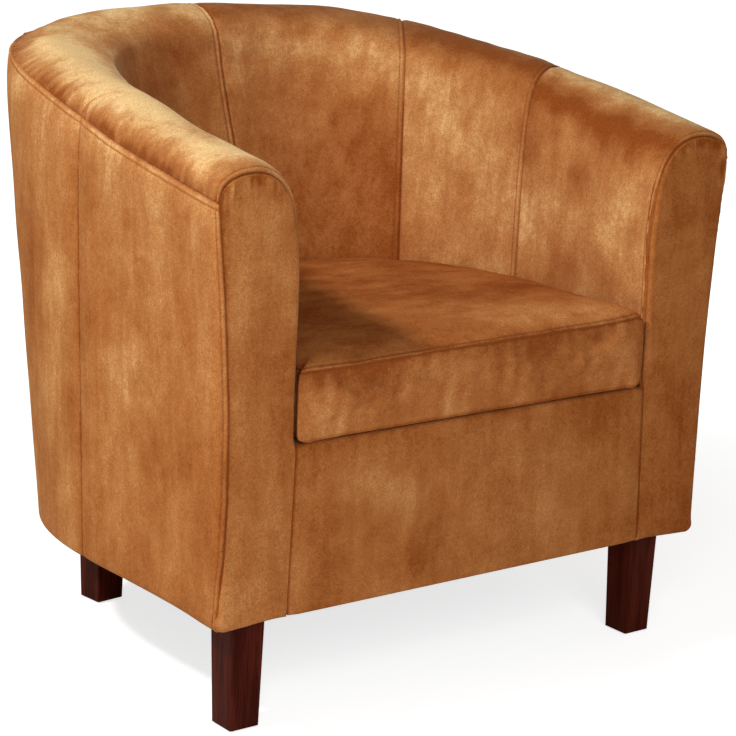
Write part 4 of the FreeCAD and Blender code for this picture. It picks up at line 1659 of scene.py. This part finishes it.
@dataclass
class FrontRail:
    """Padded cover of the rail below the seat, with its strip over the rail's top."""

    name: str = "front_rail_panel"
    low_half: float = 0.256
    high_half: float = 0.250
    radius: float = 4.5 * MM
    flange: float = 0.052
    turn_under: float = 22.0 * MM
    pad: float = 12.4 * MM
    puff: float = 2.0 * MM
    swell: float = 0.5 * MM
    swell_length: float = 0.12
    step: float = 4.5 * MM
    seed: int = 71

    def section(self, deck: float, under: float) -> Pair:
        """Section of the cover and of its hidden side, in depth behind the front and height.

        Args:
            deck: Height of the rail's top.
            under: Height of its lower edge.

        Returns:
            Points of both, from the strip on the top downwards and from below upwards.
        """
        angles = np.radians(np.linspace(0.0, 90.0, 7))[1:-1]
        near = self.radius * (1.0 - np.sin(angles))
        far = self.radius * (1.0 - np.cos(angles))
        rows = int((deck - under - 2.0 * self.radius) / self.step)
        upright = np.linspace(deck - self.radius, under + self.radius, rows)
        parts = ((np.linspace(self.flange, self.radius, 10), deck), (near, deck - far),
                 (0.0, upright), (far, under + near),
                 (np.linspace(self.radius, self.turn_under, 4), under))
        shape = np.concatenate([np.stack(np.broadcast_arrays(y, z), axis=-1) for y, z in parts])
        back = np.array([(self.turn_under, under + 1.2 * MM), (self.pad, under + 1.4 * MM),
                         (self.pad, deck - 2.8 * MM), (self.flange, deck - 2.4 * MM)])
        return shape, back

    def build(self, material: Material) -> None:
        """Make the rail's cover.

        Args:
            material: The velvet.
        """
        front, deck, under = WALL.front_y, WALL.deck_z, WALL.underside - FOOT.drop
        columns = graded(2.0 * self.low_half, SEAM.grades, self.step)
        shape, back = self.section(deck, under)
        across = np.broadcast_to(columns[:, None], (len(columns), len(shape)))
        points = np.zeros((len(columns), len(shape), 3))
        rear = np.zeros((len(columns), len(back), 3))
        for target, source in ((points, shape), (rear, back)):
            for row, (y, z) in enumerate(source):
                share = (z - under) / (deck - under)
                half = self.low_half + (self.high_half - self.low_half) * share - 0.2 * MM
                target[:, row, 0] = fitted(columns, 2.0 * half) - half
                target[:, row, 1:] = front + y, z
        distances = {"start": across, "end": columns[-1] - across}
        outward = np.zeros_like(points)
        outward[..., 1] = -1.0
        seams = {"start": Seam.PLAIN, "end": Seam.PLAIN}
        patch = Patch(points, distances, seams, outward, self.seed)
        calm = smooth_step(0.0, 0.05, patch.near)
        heights = smooth_step(under, under + 0.05, points[..., 2]) * smooth_step(
            deck, deck - 0.05, points[..., 2])
        swell = self.swell * waves(points, self.swell_length, self.seed)
        lift = calm * heights * (self.puff + swell)
        face = patch.sewn(lift)
        loops = np.concatenate([face, rear], axis=1)
        piece = make_object(self.name, *tube(loops, face.shape[1]), material)
        pile_and_shading = 0.3 * waves(points, 0.08, self.seed + 2, (0.5, 1.0, 1.0))
        # Painted shade along the rail's top, under the cushion's overhanging front, and painted
        # shade and dust at the seams
        pile_and_shading = pile_and_shading - 0.6 * fade(deck - points[..., 2], 0.02) + patch.seam_dust_and_shade() - 0.25
        paint_face(piece, loops, pile_and_shading)
        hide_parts("front_rail_cover", "front_rail_pad")
        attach(piece, BODY)


class PaddedWall:
    """The whole upholstered body: inner panels, outer covers, arm fronts and front rail."""

    arm_seam: float = math.radians(22.5)
    back_seam: float = math.radians(55.0)

    def inner_panels(self) -> List[InnerPanel]:
        """The six panels over the roll and down the inner face."""
        pi, sewn, plain = math.pi, Seam.STITCHED, Seam.PLAIN
        # Columns: name, start, start seam, end seam, foam nodes, tones down the section at the tone
        # places, and rust spots as place along the panel, width and depth. High tones at the crests
        # reach the painted sheen colour; the low tones at the foot of the three left panels are
        # painted shadow
        table = (
            ("arm_left", -WALL.straight_arm, sewn, plain, ("foam_arm_left",),
             (0.6, 1.3, 2.1, 2.7, 2.3, 0.6, -0.5, -0.4, -0.6),
             ((0.36, 0.20, 2.6), (0.82, 0.10, 2.2))),
            ("side_left", self.arm_seam, plain, plain, ("foam_side_left",),
             (0.8, 1.5, 2.3, 2.9, 2.7, 1.4, -0.4, -0.5, -0.7),
             ((0.20, 0.16, 2.8), (0.95, 0.10, 1.6))),
            ("back_left", self.back_seam, plain, sewn, ("foam_back",),
             (0.3, 0.7, 1.3, 2.0, 1.7, 0.8, 0.0, -0.5, -0.7),
             ((0.06, 0.12, 1.6), (0.70, 0.20, 0.7))),
            ("back_right", pi / 2.0, plain, sewn, (),
             (-0.2, -0.5, -0.9, -1.1, -0.9, 0.2, 1.0, -0.8, -1.4), ()),
            ("side_right", pi - self.back_seam, plain, sewn, ("foam_side_right",),
             (0.4, 0.3, -0.3, -1.6, -1.6, -0.4, 0.9, 1.0, 0.5), ()),
            ("arm_right", pi - self.arm_seam, plain, sewn, ("foam_arm_right",),
             (0.6, 0.9, 1.7, 1.9, -0.2, -1.9, 0.2, 0.9, -0.2), ()),
        )
        ends = [row[1] for row in table[1:]] + [pi + WALL.straight_arm]
        return [InnerPanel("inner_panel_" + name, start, end, ("inner_cover_" + name,) + foam,
                           {"start": first, "end": last, "top": plain}, seed, tones, rust)
                for seed, (end, (name, start, first, last, foam, tones, rust))
                in enumerate(zip(ends, table), 11)]

    def outer_panels(self) -> List[OuterPanel]:
        """The covers of the two arms and of the back."""
        pi = math.pi
        arm, back = Seam.STITCHED, Seam.PLAIN
        return [
            OuterPanel("outer_panel_arm_left", -WALL.straight_arm, self.arm_seam,
                       ("outer_cover_arm_left",), {"start": arm, "end": back, "top": arm}, 31),
            OuterPanel("outer_panel_back", self.arm_seam, pi - self.arm_seam,
                       ("outer_cover_back",), {"start": back, "end": back, "top": arm}, 32),
            OuterPanel("outer_panel_arm_right", pi - self.arm_seam, pi + WALL.straight_arm,
                       ("outer_cover_arm_right",), {"start": back, "end": arm, "top": arm}, 33),
        ]

    def build(self, wardrobe: Wardrobe, stitching: Stitching) -> None:
        """Make all pieces of the wall.

        Args:
            wardrobe: The finishes.
            stitching: Where the rows of stitches are kept.
        """
        for panel in self.inner_panels():
            panel.build(wardrobe.velvet, stitching)
        for cover in self.outer_panels():
            cover.build(wardrobe.velvet_outside, stitching)
        for side, word in ((-1.0, "left"), (1.0, "right")):
            nodes = ("arm_facing_" + word, "arm_facing_pad_" + word)
            # Lower tone on the right arm's front: painted shade
            ArmFront("arm_front_" + word, side, nodes, 41 + int(side),
                     tone=-0.65 if side > 0.0 else 0.0).build(wardrobe.velvet_outside)
        FrontRail().build(wardrobe.velvet_outside)


# ---------------------------------------------------------------- seat cushion


@dataclass
class SeatCushion:
    """Loose boxed cushion: a crowned block that cloth simulation swells, with seams and welt."""

    name: str = "seat_cushion_pad"
    clearance: float = 1.0 * MM
    front_gap: float = -3.5 * MM
    height: float = 88.0 * MM
    crown: float = 9.5 * MM
    corner: float = 4.0 * MM
    gap: float = 0.3 * MM
    side_room: float = 0.7 * MM
    edge: float = 4.0 * MM
    top_edge: float = 6.0 * MM
    lean: float = 3.5 * MM
    overhang: float = 4.8 * MM
    left_flare: float = 9.0 * MM
    right_flare: float = 4.0 * MM
    welt: float = 5.5 * MM
    groove: float = 1.7 * MM
    groove_width: float = 1.8 * MM
    pull: float = 1.2 * MM
    pull_reach: float = 10.0 * MM
    welt_sink: float = 0.9 * MM
    welt_rise: float = 0.5 * MM
    welt_width: float = 1.5 * MM
    low_groove: float = 1.4 * MM
    fold: float = 0.3 * MM
    fold_length: float = 7.5 * MM
    fold_reach: float = 9.0 * MM
    front_stop: float = 6.5 * MM
    voxel: float = 5.0 * MM
    pressure: float = 4.0
    cap: float = 5.0 * MM
    crown_power: float = 3.8
    plan_steps: int = 46
    frames: int = 20
    seam_layers: ClassVar[Tuple[str, str]] = ("top_seam", "low_seam")

    def reach(self, turn: float, inset: float) -> float:
        """Reach of the cushion's side from the hub."""
        clear = self.clearance + WALL.arm_bulge + inset
        depth = WALL.seat_depth - WALL.straight_arm - self.clearance - inset
        return float(WALL.plan(np.array(turn), WALL.seat_half - clear, depth, WALL.seat_power))

    def ring(self, inset: float) -> Array:
        """Plan of the cushion at an inset, in x and y."""
        front = WALL.front_y + self.front_gap + inset
        half = self.reach(0.0, inset)
        corner = max(self.corner - inset, 1.0 * MM)
        right = [(x, front) for x in np.linspace(0.0, half - corner, 14)[:-1]]
        for angle in np.radians(np.linspace(0.0, 90.0, 6)):
            right.append((half - corner * (1.0 - math.sin(angle)),
                          front + corner * (1.0 - math.cos(angle))))
        for y in np.linspace(front + corner, WALL.hub_y, 8)[1:-1]:
            right.append((half, y))
        for turn in np.linspace(0.0, math.pi / 2.0, self.plan_steps // 2):
            reach = self.reach(turn, inset)
            right.append((reach * math.cos(turn), WALL.hub_y + reach * math.sin(turn)))
        left = [(-x, y) for x, y in reversed(right[1:-1])]
        return np.array(right + left)

    def rows(self) -> List[Tuple[float, float]]:
        """Inset and height of each ring, from the bottom's middle to the crown."""
        low = WALL.deck_z + self.gap
        top = low + self.height
        middle = (low + top) / 2.0
        rows = [(self.edge, low)]
        for angle in np.radians((30.0, 60.0, 90.0)):
            rows.append((self.edge * (1.0 - math.sin(angle)),
                         low + self.edge * (1.0 - math.cos(angle))))
        rows += [(0.0, z) for z in ((low + middle) / 2.0, middle, (top + middle) / 2.0,
                                    top - 1.5 * self.top_edge)]
        for angle in np.radians((0.0, 30.0, 60.0, 90.0)):
            rows.append((self.top_edge * (1.0 - math.cos(angle)),
                         top - self.top_edge * (1.0 - math.sin(angle))))
        return rows

    def block(self) -> Tuple[Array, Faces]:
        """Closed block before it is filled."""
        loops = [np.column_stack([self.ring(inset), np.full(len(self.ring(inset)), z)])
                 for inset, z in self.rows()]
        rim = loops[-1]
        centre = np.array((0.0, (rim[:, 1].min() + rim[:, 1].max()) / 2.0))
        for share in (0.97, 0.92, 0.84, 0.72, 0.55, 0.35, 0.15):
            flat = centre + (rim[:, :2] - centre) * share
            z = rim[0, 2] + self.crown * (1.0 - share ** self.crown_power)
            loops.append(np.column_stack([flat, np.full(len(flat), z)]))
        rings = np.array(loops)
        count, ring = rings.shape[:2]
        faces = bands(count, ring)
        faces += [list(range(ring))[::-1], [(count - 1) * ring + j for j in range(ring)]]
        return rings.reshape(-1, 3), faces

    def filled(self, thing: Object, before: Array) -> Array:
        """Vertices after cloth simulation, with a cap on how far each may move.

        Args:
            thing: The block.
            before: Its vertices.

        Returns:
            The moved vertices.
        """
        cloth = thing.modifiers.new("Filling", "CLOTH")
        cloth.settings.use_pressure = True
        cloth.settings.uniform_pressure_force = self.pressure
        cloth.settings.effector_weights.gravity = 0.0
        cloth.settings.quality = 5
        cloth.collision_settings.use_collision = False
        scene = bpy.context.scene
        scene.frame_start = 1
        for number in range(1, self.frames + 1):
            scene.frame_set(number)
        solid = thing.evaluated_get(bpy.context.evaluated_depsgraph_get())
        after = self.read(solid.to_mesh(), "co")
        solid.to_mesh_clear()
        thing.modifiers.clear()
        scene.frame_set(1)
        move = after - before
        length = np.linalg.norm(move, axis=1, keepdims=True)
        return before + move * np.minimum(1.0, self.cap / np.maximum(length, 1e-9))

    def simulate(self, thing: Object) -> None:
        """Fill the block and keep it inside the room between the arms.

        Args:
            thing: The block, which gets the filled mesh.
        """
        remesh = thing.modifiers.new("Even mesh", "REMESH")
        remesh.mode = "VOXEL"
        remesh.voxel_size = self.voxel
        mesh = bake_modifiers(thing)
        before = self.read(mesh, "co")
        for name, gaps in zip(self.seam_layers, self.seam_gaps(before)):
            mesh.attributes.new(name, "FLOAT", "POINT").data.foreach_set(
                "value", gaps.astype(np.float32))
        after = self.filled(thing, before)
        low = WALL.deck_z + self.gap
        after[:, 2] = np.maximum(after[:, 2], low)
        after[:, 1] = np.maximum(after[:, 1], WALL.front_y - self.front_stop)
        behind = np.maximum(after[:, 1] - WALL.hub_y, 0.0)
        reach = np.hypot(after[:, 0], behind)
        depth = WALL.seat_depth - WALL.straight_arm - self.side_room
        room = WALL.plan(np.arctan2(behind, -after[:, 0]),
                         WALL.seat_half - WALL.arm_bulge - self.side_room, depth, WALL.seat_power)
        share = np.minimum(1.0, room / np.maximum(reach, 1e-6))
        after[:, 0] *= share
        after[:, 1] += behind * (share - 1.0)
        mesh.vertices.foreach_set("co", self.settle(after).reshape(-1))
        mesh.update()

    def front_room(self, points: Array) -> Array:
        """How far from the middle a point may lie beside the round edges of the arms' fronts."""
        sections = np.linspace(0.13, WALL.section_knots[-1], 40)
        line = WALL.inner(np.full((1, 40), -WALL.straight_arm), WALL.section_basis(sections))[0]
        half = np.interp(points[:, 2], line[::-1, 2], -line[::-1, 0])
        radius = np.where(points[:, 0] > 0.0, CORNER.right_roll_radii[-1], CORNER.roll_radii[-1])
        left = radius - np.clip(points[:, 1] - WALL.front_y, 0.0, radius)
        return half + radius - np.sqrt(radius ** 2 - left ** 2) - self.side_room

    def settle(self, points: Array) -> Array:
        """Let the cushion lean a little, hang over the rail and press against the arms' fronts.

        Args:
            points: Vertices on the flat deck.

        Returns:
            Moved vertices.
        """
        points = points.copy()
        low = WALL.deck_z + self.gap
        rise = np.clip((points[:, 2] - low) / self.height, 0.0, 1.0)
        ahead = points[:, 1] - WALL.front_y
        side = np.abs(points[:, 0])
        near = smooth_step(14.0 * MM, 0.0, ahead) * smooth_step(0.20, 0.24, side)
        full = smooth_step(0.0, 0.12, rise) * smooth_step(1.12, 0.93, rise)
        flare = np.where(points[:, 0] < 0.0, self.left_flare * full,
                         self.right_flare * np.sin(math.pi * rise))
        wider = np.maximum(side, np.minimum(side + flare * near, self.front_room(points)))
        points[:, 0] = np.sign(points[:, 0]) * wider
        points[:, 2] += self.lean * points[:, 0] / WALL.seat_half * rise
        hang = smooth_step(6.0 * MM, -1.0 * MM, ahead) * smooth_step(0.035, 0.0, points[:, 2] - low)
        points[:, 2] -= self.overhang * hang
        radius = FrontRail.radius
        inner = np.clip(radius - ahead, 0.0, radius)
        floor = WALL.deck_z + self.gap - radius + np.sqrt(radius ** 2 - inner ** 2)
        points[:, 2] = np.maximum(points[:, 2], floor - 0.8 * MM * (ahead < 0.0))
        return points

    def build(self, material: Material, stitching: Stitching) -> None:
        """Make the cushion, its stitches and its pile.

        Args:
            material: The velvet.
            stitching: Where the rows of stitches are kept.
        """
        piece = make_object(self.name, *self.block(), material)
        self.simulate(piece)
        finer = piece.modifiers.new("Finer", "SUBSURF")
        finer.levels = finer.render_levels = 1
        mesh = bake_modifiers(piece)
        self.split_near_seam(mesh)
        points, normals = self.read(mesh, "co"), self.read(mesh, "normal")
        top, low = (np.array([v.value for v in mesh.attributes[name].data])
                    for name in self.seam_layers)
        for name in self.seam_layers:
            mesh.attributes.remove(mesh.attributes[name])
        near = np.abs(top)
        offset = -self.groove * bell(near, self.groove_width)
        offset -= self.pull * fade(near, self.pull_reach)
        upper = (top > 0.0).astype(float)
        offset -= upper * self.welt_sink * bell(near - self.welt, self.welt_width)
        offset += upper * self.welt_rise * bell(near - 0.5 * self.welt, self.welt_width)
        folds = waves(points, self.fold_length, 93, (1.0, 1.0, 0.15))
        ruffle = self.fold * folds * fade(near, self.fold_reach)
        offset += ruffle * smooth_step(0.0, 3.0 * MM, near)
        offset -= self.low_groove * bell(low, self.groove_width)
        moved = points + normals * offset[:, None]
        mesh.vertices.foreach_set("co", moved.reshape(-1))
        mesh.update()
        for polygon in mesh.polygons:
            polygon.use_smooth = True
        # Painted shade along the lower seam, where the cushion meets the rail and the deck
        paint(piece, self.pile_and_shading(points, top, folds) - 1.5 * bell(low, 2.5 * MM))
        self.stitch(points, normals, top, stitching)
        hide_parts("cushion_cover", "cushion_core")
        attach(piece, SEAT)
        LOG.info("%s: %d faces", self.name, len(mesh.polygons))

    @staticmethod
    def read(mesh: Mesh, what: str) -> Array:
        """Points or normals of a mesh."""
        values = np.zeros(len(mesh.vertices) * 3)
        mesh.vertices.foreach_get(what, values)
        return values.reshape(-1, 3)

    def seam_gaps(self, points: Array) -> Pair:
        """Distances from the upper seam, below zero on the boxing, and from the lower seam."""
        low = WALL.deck_z + self.gap
        gaps = []
        for inset, z in ((0.0, low + self.height - self.top_edge), (0.0, low + self.edge)):
            ring = self.ring(inset)
            ring = np.vstack([ring, ring[:1]])
            run = runs_along(ring)
            fine = np.linspace(0.0, run[-1], 900)
            line = np.column_stack([np.interp(fine, run, ring[:, 0]),
                                    np.interp(fine, run, ring[:, 1]), np.full(900, z)])
            gap = np.concatenate([
                np.linalg.norm(part[:, None] - line[None], axis=2).min(axis=1)
                for part in np.array_split(points, len(points) // 2000 + 1)])
            gaps.append(gap)
        above = points[:, 2] > low + self.height - self.top_edge
        return np.where(above, gaps[0], -gaps[0]), gaps[1]

    def split_near_seam(self, mesh: Mesh) -> None:
        """Split the faces beside the upper seam, where the welt needs a finer mesh."""
        build = bmesh.new()
        build.from_mesh(mesh)
        layer = build.verts.layers.float[self.seam_layers[0]]
        edges = [edge for edge in build.edges
                 if all(-5.0 * MM < vert[layer] < 9.0 * MM for vert in edge.verts)]
        bmesh.ops.subdivide_edges(build, edges=edges, cuts=1, use_grid_fill=True)
        build.to_mesh(mesh)
        build.free()

    def pile_and_shading(self, points: Array, top: Array, folds: Array) -> Array:
        """Pile and painted shading: rusty on the top with a pale front edge, upright strokes on the
        sides, painted light and shade on the gathers and painted shade in the seams.

        Args:
            points: Vertices.
            top: Signed distances from the upper seam.
            folds: Gathers beside the seam, which get painted light and shade.

        Returns:
            One value for each vertex.
        """
        flat = smooth_step(-1.5 * MM, 1.5 * MM, top)
        front = bell(points[:, 1] - WALL.front_y - 0.03, 0.035)
        right = smooth_step(-0.12, 0.05, points[:, 0])
        patches = waves(points, 0.11, 95, (0.6, 1.0, 1.0))
        brushed = waves(points, 0.028, 96, (0.35, 1.0, 1.0))
        # Pale front edge that grows towards the right: partly brushed pile and partly a painted
        # highlight on the lit part beside the left arm's shadow
        upper = -1.0 + 0.35 * patches + 0.25 * brushed + front * (0.3 + 1.1 * right)
        upright = waves(points, 0.016, 97, (1.0, 1.0, 0.16))
        broad = waves(points, 0.07, 98, (1.0, 1.0, 0.4))
        sides = 0.1 + 0.35 * upright + 0.3 * broad - 0.8 * np.exp(top / 0.016) - 0.35 * right
        sides = sides - 2.2 * np.exp(top / 0.026 - ((points[:, 0] + 0.21) / 0.08) ** 2)
        seam = fade(np.abs(top), 0.007)
        line = bell(top, 1.3 * MM) + 0.5 * bell(top - self.welt, MM)
        # Painted light and shade on the gathers, and painted shade in the seam groove and along the
        # stitch row
        return flat * upper + (1.0 - flat) * sides + (0.4 * folds - 0.3) * seam - 1.5 * line

    def stitch(self, points: Array, normals: Array, top: Array, stitching: Stitching) -> None:
        """Lay a row of stitches on the welt, all round the cushion."""
        chosen = np.abs(top - self.welt) < 1.2 * MM
        ring = points[chosen]
        turn = np.arctan2(ring[:, 1] - WALL.hub_y, ring[:, 0])
        order = np.argsort(turn)
        edges = np.linspace(-math.pi, math.pi, 521)
        row = []
        for low, high in zip(edges, edges[1:]):
            part = order[(turn[order] >= low) & (turn[order] < high)]
            if len(part):
                row.append((ring[part] + normals[chosen][part] * (-0.75 * MM)).mean(axis=0))
        line = np.array(row + row[:1])
        for _ in range(4):
            line[1:-1] = (line[:-2] + line[1:-1] + line[2:]) / 3.0
        stitching.add(SEAT, line)


# ---------------------------------------------------------------- cloths under seat and chair


@dataclass
class DustCloth:
    """Black cloth stapled under the frame."""

    name: str = "dust_cloth_sheet"
    inset: float = 15.0 * MM
    pitch: float = 11.0 * MM
    below: float = 0.6 * MM
    sag: float = 4.0 * MM
    sag_reach: float = 0.070
    thickness: float = 0.35 * MM
    staple_inset: float = 5.0 * MM

    def outline(self, inset: float) -> Array:
        """Outline in plan at a distance inside the chair's lower edge."""
        travels = np.concatenate([
            np.linspace(-WALL.straight_arm + inset, 0.0, 12)[:-1], np.linspace(0.0, math.pi, 90),
            np.linspace(math.pi, math.pi + WALL.straight_arm - inset, 12)[1:]])
        wall = WALL.outer(travels, np.full_like(travels, inset),
                          np.full_like(travels, WALL.underside))[:, :2]
        across = np.linspace(wall[-1, 0], wall[0, 0], 46)[1:-1]
        return np.vstack([wall, np.column_stack([across, np.full(44, wall[-1, 1])])])

    def level(self, flat: Array, edge: Array) -> Array:
        """Heights of the cloth: close under the covers at its edge, lower in the middle."""
        corner = np.hypot(WALL.foot_half - np.abs(flat[:, 0]), flat[:, 1] - WALL.front_y)
        gap = np.linalg.norm(flat[:, None] - edge[None], axis=2).min(axis=1)
        hang = self.sag * (1.0 - bell(gap, self.sag_reach))
        pull = 0.5 * MM * waves(np.column_stack([flat, 0.0 * gap]), 0.045, 120)
        pull = pull * fade(gap, 0.05)
        return FOOT.height(corner) - self.below - hang - np.abs(pull)

    def build(self, wardrobe: Wardrobe) -> None:
        """Make the cloth and its staples.

        Args:
            wardrobe: The finishes.
        """
        edge = self.outline(self.inset)
        flat, triangles = fill_outline(edge, self.pitch)
        z = self.level(flat, edge)
        count = len(flat)
        low = np.column_stack([flat, z])
        high = low + np.array((0.0, 0.0, self.thickness))
        faces = triangles + [[a + count, c + count, b + count] for a, b, c in triangles]
        rim = [int(np.argmin(np.linalg.norm(flat - point, axis=1))) for point in edge]
        for a, b in zip(rim, rim[1:] + rim[:1]):
            faces.append([a, b, b + count, a + count])
        cloth = wardrobe.by_slot["black_cloth"]
        piece = make_object(self.name, np.vstack([low, high]), faces, cloth)
        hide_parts("dust_cloth")
        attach(piece, BODY)
        row = self.outline(self.inset + self.staple_inset)
        line = np.column_stack([row, self.level(row, edge) - 0.3 * MM])
        slot = "steel_fasteners"
        staples = Stitching(wardrobe.by_slot[slot], Fixing.WIRE, slot, 9.0 * MM, 33.0 * MM)
        staples.add(BODY, np.vstack([line, line[:1]]))
        staples.build()


@dataclass
class DeckCloth:
    """Black cloth over the webbing, which the cushion rests on."""

    name: str = "seat_deck_sheet"
    node: str = "seat_deck_cloth"
    pitch: float = 9.0 * MM
    thickness: float = 0.7 * MM
    ripple: float = 0.25 * MM

    def build(self, material: Material) -> None:
        """Make the cloth.

        Args:
            material: Its cloth.
        """
        low, high = (np.array(corner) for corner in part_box(self.node))
        xs = np.linspace(low[0], high[0], int((high[0] - low[0]) / self.pitch))
        ys = np.linspace(low[1], high[1], int((high[1] - low[1]) / self.pitch))
        x, y = np.meshgrid(xs, ys, indexing="ij")
        points = np.stack([x, y, np.full_like(x, high[2] - self.ripple)], axis=-1)
        points[..., 2] += self.ripple * 0.5 * waves(points, 0.05, 130)
        under = points[:, ::-1] - np.array((0.0, 0.0, self.thickness))
        loops = np.concatenate([points, under], axis=1)
        piece = make_object(self.name, *tube(loops, len(ys)), material)
        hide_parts(self.node)
        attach(piece, BODY)


# ---------------------------------------------------------------- studio


@dataclass(frozen=True)
class Camera:
    """The photograph's viewpoint, in metres and pixels."""

    place: Triple = (-1.69153, -2.33176, 1.04533)
    azimuth: float = -37.3075
    elevation: float = 14.3712
    roll: float = 2.2616
    focal_pixels: float = 2428.976
    picture: float = 736.0
    sensor: float = 36.0

    def build(self) -> None:
        """Make the camera and make it the scene's."""
        azimuth, elevation = math.radians(self.azimuth), math.radians(self.elevation)
        back = Vector((math.sin(azimuth) * math.cos(elevation),
                       -math.cos(azimuth) * math.cos(elevation), math.sin(elevation)))
        right = (-back).cross(Vector((0.0, 0.0, 1.0))).normalized()
        up = right.cross(-back)
        turn = math.radians(self.roll)
        x_axis = right * math.cos(turn) + up * math.sin(turn)
        y_axis = -right * math.sin(turn) + up * math.cos(turn)
        data = bpy.data.cameras.new("camera")
        data.sensor_width = self.sensor
        data.lens = self.focal_pixels * self.sensor / self.picture
        data.clip_end = 100.0
        camera = new_object("camera", data)
        rotation = Matrix((x_axis, y_axis, back)).transposed()
        camera.matrix_world = Matrix.Translation(self.place) @ rotation.to_4x4()
        bpy.context.scene.camera = camera


@dataclass(frozen=True)
class Studio:
    """Pale floor, white surroundings and soft lights."""

    floor_half: float = 20.0
    key_way: Triple = (-0.70, 0.02, 0.71)
    key_distance: float = 3.2
    key_size: float = 0.3
    key_power: float = 64.0
    fill_way: Triple = (-0.40, -0.84, 0.36)
    fill_distance: float = 2.6
    fill_size: float = 1.5
    fill_power: float = 30.0
    near_glow: float = 0.72
    key_colour: Triple = (1.0, 0.965, 0.91)
    sky_colour: Colour = (1.0, 0.985, 0.96, 1.0)
    sky_strength: float = 0.14
    floor_colour: Colour = (0.86, 0.86, 0.85, 1.0)
    target: Triple = (0.0, 0.0, 0.4)

    def lamp(self, name: str, way: Triple, distance: float, size: float, power: float,
             colour: Triple = (1.0, 1.0, 1.0)) -> None:
        """A square area light that faces the chair.

        Args:
            name: Its name.
            way: Direction from the chair to it.
            distance: How far off it stands.
            size: Side of its square.
            power: Its power in watts.
            colour: Its colour.
        """
        data = bpy.data.lights.new(name, "AREA")
        data.size, data.energy, data.color = size, power, colour
        target = Vector(self.target)
        lamp = new_object(name, data)
        lamp.location = place = target + Vector(way).normalized() * distance
        lamp.rotation_mode = "QUATERNION"
        lamp.rotation_quaternion = (target - place).to_track_quat("-Z", "Y")

    def world(self) -> None:
        """White surroundings that light the chair only a little."""
        world = bpy.data.worlds.new("surroundings")
        world.use_nodes = True
        sheet = Sheet(world.node_tree)
        world.node_tree.nodes.clear()
        path = sheet.add("ShaderNodeLightPath")
        seen = sheet.math("MAXIMUM", path.outputs["Is Camera Ray"], path.outputs["Is Glossy Ray"])
        seen = sheet.math("MAXIMUM", seen, path.outputs["Is Transmission Ray"])
        plain = sheet.add("ShaderNodeBackground", Color=self.sky_colour, Strength=self.sky_strength)
        white = sheet.add("ShaderNodeBackground", Color=(1.0, 1.0, 1.0, 1.0), Strength=1.0)
        surface = sheet.join("ShaderNodeMixShader", seen, plain.outputs[0], white.outputs[0])
        sheet.add("ShaderNodeOutputWorld", Surface=surface)
        bpy.context.scene.world = world

    def floor(self) -> None:
        """Pale floor that looks white to the camera and keeps the shadow."""
        half = self.floor_half
        mesh = bpy.data.meshes.new("floor")
        mesh.from_pydata([(-half, -half, 0.0), (half, -half, 0.0), (half, half, 0.0),
                          (-half, half, 0.0)], [], [(0, 1, 2, 3)])
        material = bpy.data.materials.new("floor")
        material.use_nodes = True
        sheet = Sheet(material.node_tree)
        material.node_tree.nodes.clear()
        plain = sheet.add("ShaderNodeBsdfDiffuse", Color=self.floor_colour).outputs[0]
        place = sheet.add("ShaderNodeTexCoord").outputs["Object"]
        length = sheet.add("ShaderNodeVectorMath", operation="LENGTH", Vector=place)
        glow = sheet.remap(length.outputs["Value"], 0.6, 1.8, self.near_glow, 1.0)
        glow = sheet.add("ShaderNodeEmission", Strength=glow).outputs[0]
        both = sheet.join("ShaderNodeAddShader", plain, glow)
        seen = sheet.add("ShaderNodeLightPath").outputs["Is Camera Ray"]
        surface = sheet.join("ShaderNodeMixShader", seen, plain, both)
        sheet.add("ShaderNodeOutputMaterial", Surface=surface)
        mesh.materials.append(material)
        floor = new_object("floor", mesh)

    def build(self) -> None:
        """Make the surroundings, the floor and the lights."""
        bpy.context.scene.view_settings.view_transform = "Standard"
        self.world()
        self.floor()
        self.lamp("key", self.key_way, self.key_distance, self.key_size, self.key_power,
                  self.key_colour)
        self.lamp("fill", self.fill_way, self.fill_distance, self.fill_size, self.fill_power)


def main() -> None:
    """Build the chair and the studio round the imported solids."""
    logging.basicConfig(level=logging.INFO, format="%(name)s: %(message)s")
    Camera().build()
    wardrobe = Wardrobe()
    wardrobe.dress_nodes()
    stitching = Stitching(wardrobe.thread)
    PaddedWall().build(wardrobe, stitching)
    SeatCushion().build(wardrobe.velvet_seat, stitching)
    stitching.build()
    DeckCloth().build(wardrobe.by_slot["black_cloth"])
    DustCloth().build(wardrobe)
    Studio().build()


if __name__ == "__main__":
    main()
